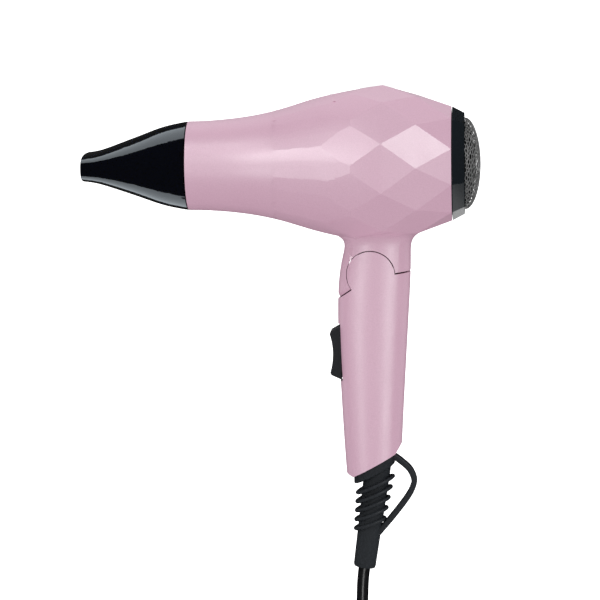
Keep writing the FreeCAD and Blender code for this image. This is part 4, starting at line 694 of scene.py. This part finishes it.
split = add(tree, "GeometryNodeTriangulate", {"Mesh": jittered.outputs["Geometry"]})
net = add(tree, "GeometryNodeDualMesh", {"Mesh": split.outputs["Mesh"]})
spot = add(tree, "ShaderNodeSeparateXYZ", {0: add(tree, "GeometryNodeInputPosition").outputs[0]})
flat = math_node(tree, "SQRT", math_node(
    tree, "ADD", math_node(tree, "MULTIPLY", spot.outputs[0], spot.outputs[0]),
    math_node(tree, "MULTIPLY", spot.outputs[1], spot.outputs[1])))
arc = math_node(tree, "DIVIDE", flat, math_node(tree, "MULTIPLY", given.outputs["Radius"], 1.16))
beyond = math_node(tree, "GREATER_THAN", arc, 1.0)
inside = add(tree, "GeometryNodeDeleteGeometry", {"Geometry": net.outputs["Dual Mesh"],
                                                  "Selection": beyond}, domain="POINT")
angle = math_node(tree, "MULTIPLY", arc, math.pi / 2)
out = math_node(tree, "DIVIDE", math_node(tree, "MULTIPLY", math_node(tree, "SINE", angle),
                                          given.outputs["Radius"]),
                math_node(tree, "MAXIMUM", flat, 0.00001))
on_dome = vector_node(
    tree,
    math_node(tree, "ADD", given.outputs["Rim x"],
              math_node(tree, "MULTIPLY", math_node(tree, "COSINE", angle), given.outputs["Rise"])),
    math_node(tree, "MULTIPLY", spot.outputs[0], out),
    math_node(tree, "ADD", given.outputs["Axis z"], math_node(tree, "MULTIPLY", spot.outputs[1], out)))
dome = add(tree, "GeometryNodeSetPosition", {"Geometry": inside.outputs["Geometry"],
                                             "Position": on_dome})
strands = add(tree, "GeometryNodeMeshToCurve", {"Mesh": dome.outputs["Geometry"]})
strand_edge = add(tree, "GeometryNodeCurvePrimitiveCircle", {
    "Resolution": 6, "Radius": math_node(tree, "MULTIPLY", given.outputs["Strand"], 0.5)})
drawn = add(tree, "GeometryNodeCurveToMesh", {"Curve": strands.outputs["Curve"],
                                              "Profile Curve": strand_edge.outputs["Curve"]})
rim_line = add(tree, "GeometryNodeCurvePrimitiveCircle", {"Resolution": 96,
                                                          "Radius": given.outputs["Radius"]})
rim_turned = add(tree, "GeometryNodeTransform", {
    "Geometry": rim_line.outputs["Curve"], "Rotation": (0.0, math.pi / 2, 0.0),
    "Translation": vector_node(tree, math_node(tree, "SUBTRACT", given.outputs["Rim x"], 0.0006), 0.0,
                               given.outputs["Axis z"])})
rim_edge = add(tree, "GeometryNodeCurvePrimitiveCircle", {"Resolution": 8, "Radius": 0.0006})
rim = add(tree, "GeometryNodeCurveToMesh", {"Curve": rim_turned.outputs["Geometry"],
                                            "Profile Curve": rim_edge.outputs["Curve"]})
joined = tree.nodes.new("GeometryNodeJoinGeometry")
tree.links.new(drawn.outputs["Mesh"], joined.inputs[0])
tree.links.new(rim.outputs["Mesh"], joined.inputs[0])
end_tree(tree, joined.outputs["Geometry"], result, plated)
grown("metal_net", tree, "barrel", plated, "inlet_mesh", slot="mesh")


# ---- rocker switch --------------------------------------------------------------------------------
# A satin black rocker that tips on two trunnions at the front of the grip, over the slide switch that it
# works. The switch's blades are brass, and its two wires run down to the cord.

satin_black = finish("satin_black", tone(36, 38, 41), tone(46, 48, 52), (0.30, 0.38), grain=1500.0,
                     dents=0.00002, specular_ior_level=0.5)
shell_copy("rocker_cap", "rocker", "rocker", satin_black, sharp=30.0, rounded=0.0004,
           slot="satin_black")
paint(nylon, "switch_body")
wire_pvc = finish("wire_pvc", tone(30, 30, 32), tone(44, 44, 46), (0.5, 0.6), grain=1500.0)
paint(wire_pvc, "switch_leads", "heater_leads", "cord_inner")


# ---- heater ---------------------------------------------------------------------------------------
# Nickel-chrome wire wound on a cross of mica boards inside a mica sleeve, with a bimetal thermostat and a
# thermal fuse riveted to one board.

mica = finish("mica", tone(150, 132, 104), tone(196, 180, 150), (0.35, 0.6), grain=400.0,
              dents=0.00005)
nichrome = finish("nichrome", (0.26, 0.23, 0.21, 1), (0.38, 0.34, 0.31, 1), (0.35, 0.5), grain=3000.0,
                  metallic=1.0)
bakelite = finish("bakelite", tone(20, 18, 17), tone(36, 32, 30), (0.4, 0.55), grain=1800.0)
paint(mica, "mica_sleeve", "mica_cross")
paint(nichrome, "heater_coils")
paint(bakelite, "thermostat", "diodes")


# ---- motor and supply -----------------------------------------------------------------------------
# A small direct-current motor in a steel can, with ferrite magnets and a copper-wound armature on the
# fan's shaft, fed by four diodes on a fibre board and one capacitor.

copper = finish("copper", (0.55, 0.26, 0.14, 1), (0.70, 0.36, 0.20, 1), (0.25, 0.4), grain=2500.0,
                metallic=1.0)
ferrite = finish("ferrite", tone(50, 50, 52), tone(74, 74, 76), (0.6, 0.75), grain=2500.0)
board = finish("fibre_board", tone(120, 98, 60), tone(150, 126, 84), (0.5, 0.65), grain=900.0)
film = finish("capacitor_film", tone(120, 60, 30), tone(150, 80, 44), (0.3, 0.4), grain=900.0)
paint(copper, "motor_armature")
paint(ferrite, "motor_magnets")
paint(board, "diode_board")
paint(film, "capacitor")


# ---- floor and light ------------------------------------------------------------------------------
# A white table top that casts no shadow and glows with painted light, weakest near the dryer and full
# further off, so that shadows falling on it far behind are washed out to white; an even white room; and
# soft boxes that mostly serve one finish each. Ten give the pearl lacquer its gloss and no more, strips
# draw the edges of the glossy black pieces, and one overhead shapes everything but adds no gloss.

table_white = bpy.data.materials.new("table_white")
table_white.use_nodes = True
shader = table_white.node_tree.nodes["Principled BSDF"]
shader.inputs["Base Color"].default_value = (0.8, 0.8, 0.8, 1)
shader.inputs["Roughness"].default_value = 0.9
where = add(table_white.node_tree, "ShaderNodeTexCoord").outputs["Object"]
reach = add(table_white.node_tree, "ShaderNodeVectorMath", {0: where}, operation="LENGTH")
# Painted light: the table top's glow rises from 0.55 within 0.24 m of the middle to 1.1 beyond 0.42 m,
# washing out the shadows cast far behind the dryer.
painted_floor_glow = add(table_white.node_tree, "ShaderNodeMapRange", {
    "Value": reach.outputs["Value"], "From Min": 0.24, "From Max": 0.42, "To Min": 0.55, "To Max": 1.1})
shader.inputs["Emission Color"].default_value = (1, 1, 1, 1)
table_white.node_tree.links.new(painted_floor_glow.outputs["Result"], shader.inputs["Emission Strength"])
floor_mesh = bpy.data.meshes.new("table_top")
floor_z = cad_box[0][2] - 0.0002
floor_half = 9
floor_mesh.from_pydata([(x * floor_half, y * floor_half, floor_z)
                        for x, y in ((-1, -1), (1, -1), (1, 1), (-1, 1))], [], [(0, 1, 2, 3)])
floor_mesh.materials.append(table_white)
table_top = bpy.data.objects.new("table_top", floor_mesh)
bpy.context.scene.collection.objects.link(table_top)
table_top.visible_diffuse = False
table_top.visible_glossy = False
table_top.visible_shadow = False

world = bpy.data.worlds.new("room")
world.use_nodes = True
bpy.context.scene.world = world
sky = world.node_tree.nodes["Background"]
rays = add(world.node_tree, "ShaderNodeLightPath")
soft = add(world.node_tree, "ShaderNodeMapRange", {"Value": rays.outputs["Is Glossy Ray"],
                                                   "To Min": 0.90, "To Max": 0.02})
shade = add(world.node_tree, "ShaderNodeMapRange", {"Value": rays.outputs["Is Camera Ray"],
                                                    "To Min": soft.outputs["Result"], "To Max": 1.1})
sky.inputs["Color"].default_value = (1, 1, 1, 1)
world.node_tree.links.new(shade.outputs["Result"], sky.inputs["Strength"])


def softbox(name, side, height, distance, wide, tall, watts, only=(), at=(-0.03, 0.0, 0.08)):
    """A soft box seen from the dryer at an angle to its side and above its middle, in degrees."""
    light = bpy.data.lights.new(name, "AREA")
    light.shape = "RECTANGLE"
    light.size, light.size_y, light.energy = wide, tall, watts
    box = bpy.data.objects.new(name, light)
    bpy.context.scene.collection.objects.link(box)
    a, e = math.radians(side), math.radians(height)
    way = Vector((math.sin(a) * math.cos(e), -math.cos(a) * math.cos(e), math.sin(e)))
    box.location = Vector(at) + way * distance
    box.rotation_mode = "QUATERNION"
    box.rotation_quaternion = way.to_track_quat("Z", "Y")
    box.visible_camera = False
    if only:
        lit = bpy.data.collections.new(name + "_lights")
        for piece in only:
            lit.objects.link(piece)
        box.light_linking.receiver_collection = lit
    return box


far, near = 1.3, 0.8
glossy = [bpy.data.objects[n] for n in ("nozzle_shell", "rear_ring_shell", "rocker_cap")]
pearly = [bpy.data.objects[n] for n in ("barrel_skin_left", "barrel_skin_right", "handle_skin_left",
                                        "handle_skin_right")]
for name, side, height, wide, tall, watts in (
        ("key_right", 34, 26, 0.40, 0.40, 7.5), ("key_left", -34, 22, 0.40, 0.32, 5.8),
        ("high_left", -26, 50, 0.35, 0.30, 2.4),
        ("low_right", 36, -8, 0.30, 0.30, 3.6), ("low_left", -32, -8, 0.30, 0.30, 2.5),
        ("low_front", 2, -7, 1.6, 0.25, 1.2), ("high_behind", 180, 62, 1.2, 0.95, 3.2),
        ("wall_behind", 180, 25, 2.4, 0.9, 3.5), ("side_right", 118, -4, 0.7, 0.7, 0.8),
        ("side_left", -118, -4, 0.7, 0.7, 0.8)):
    softbox(name, side, height, far, wide, tall, watts, only=pearly).visible_diffuse = False
softbox("overhead", 0, 60, far, 0.8, 0.5, 1.2).visible_glossy = False
softbox("room_right", 40, 24, far, 0.35, 0.35, 2.6, only=[o for o in bpy.data.objects if o.type in (
    "MESH", "CURVE") and o not in glossy and o not in pearly])
softbox("cord_front", 6, -8, far, 0.3, 0.3, 4.5, only=[mains_cord],
        at=(-0.008, 0.0, -0.13)).visible_diffuse = False
softbox("rocker_front", -52, 48, far, 0.4, 0.4, 2.0, only=glossy[2:])
cool, nozzle_middle = (0.84, 0.93, 1.0), (-0.12, 0.0, barrel_axis_z)
for name, height, tall in (("top_strip", 76.5, 0.70), ("bottom_strip", -70, 0.80)):
    softbox(name, 180, height, near, 0.9, tall, 2.6, only=glossy, at=nozzle_middle).data.color = cool
for name, side, height, wide, watts in (("ring_strip", 180, -20, 0.4, 0.3),
                                        ("ring_under", 90, -64, 1.0, 0.9),
                                        ("ring_front", 28, -4, 0.4, 0.12)):
    softbox(name, side, height, near, wide, 0.3, watts, only=glossy[1:2],
            at=(0.045, 0.0, barrel_axis_z))
bpy.context.scene.view_settings.view_transform = "Standard"
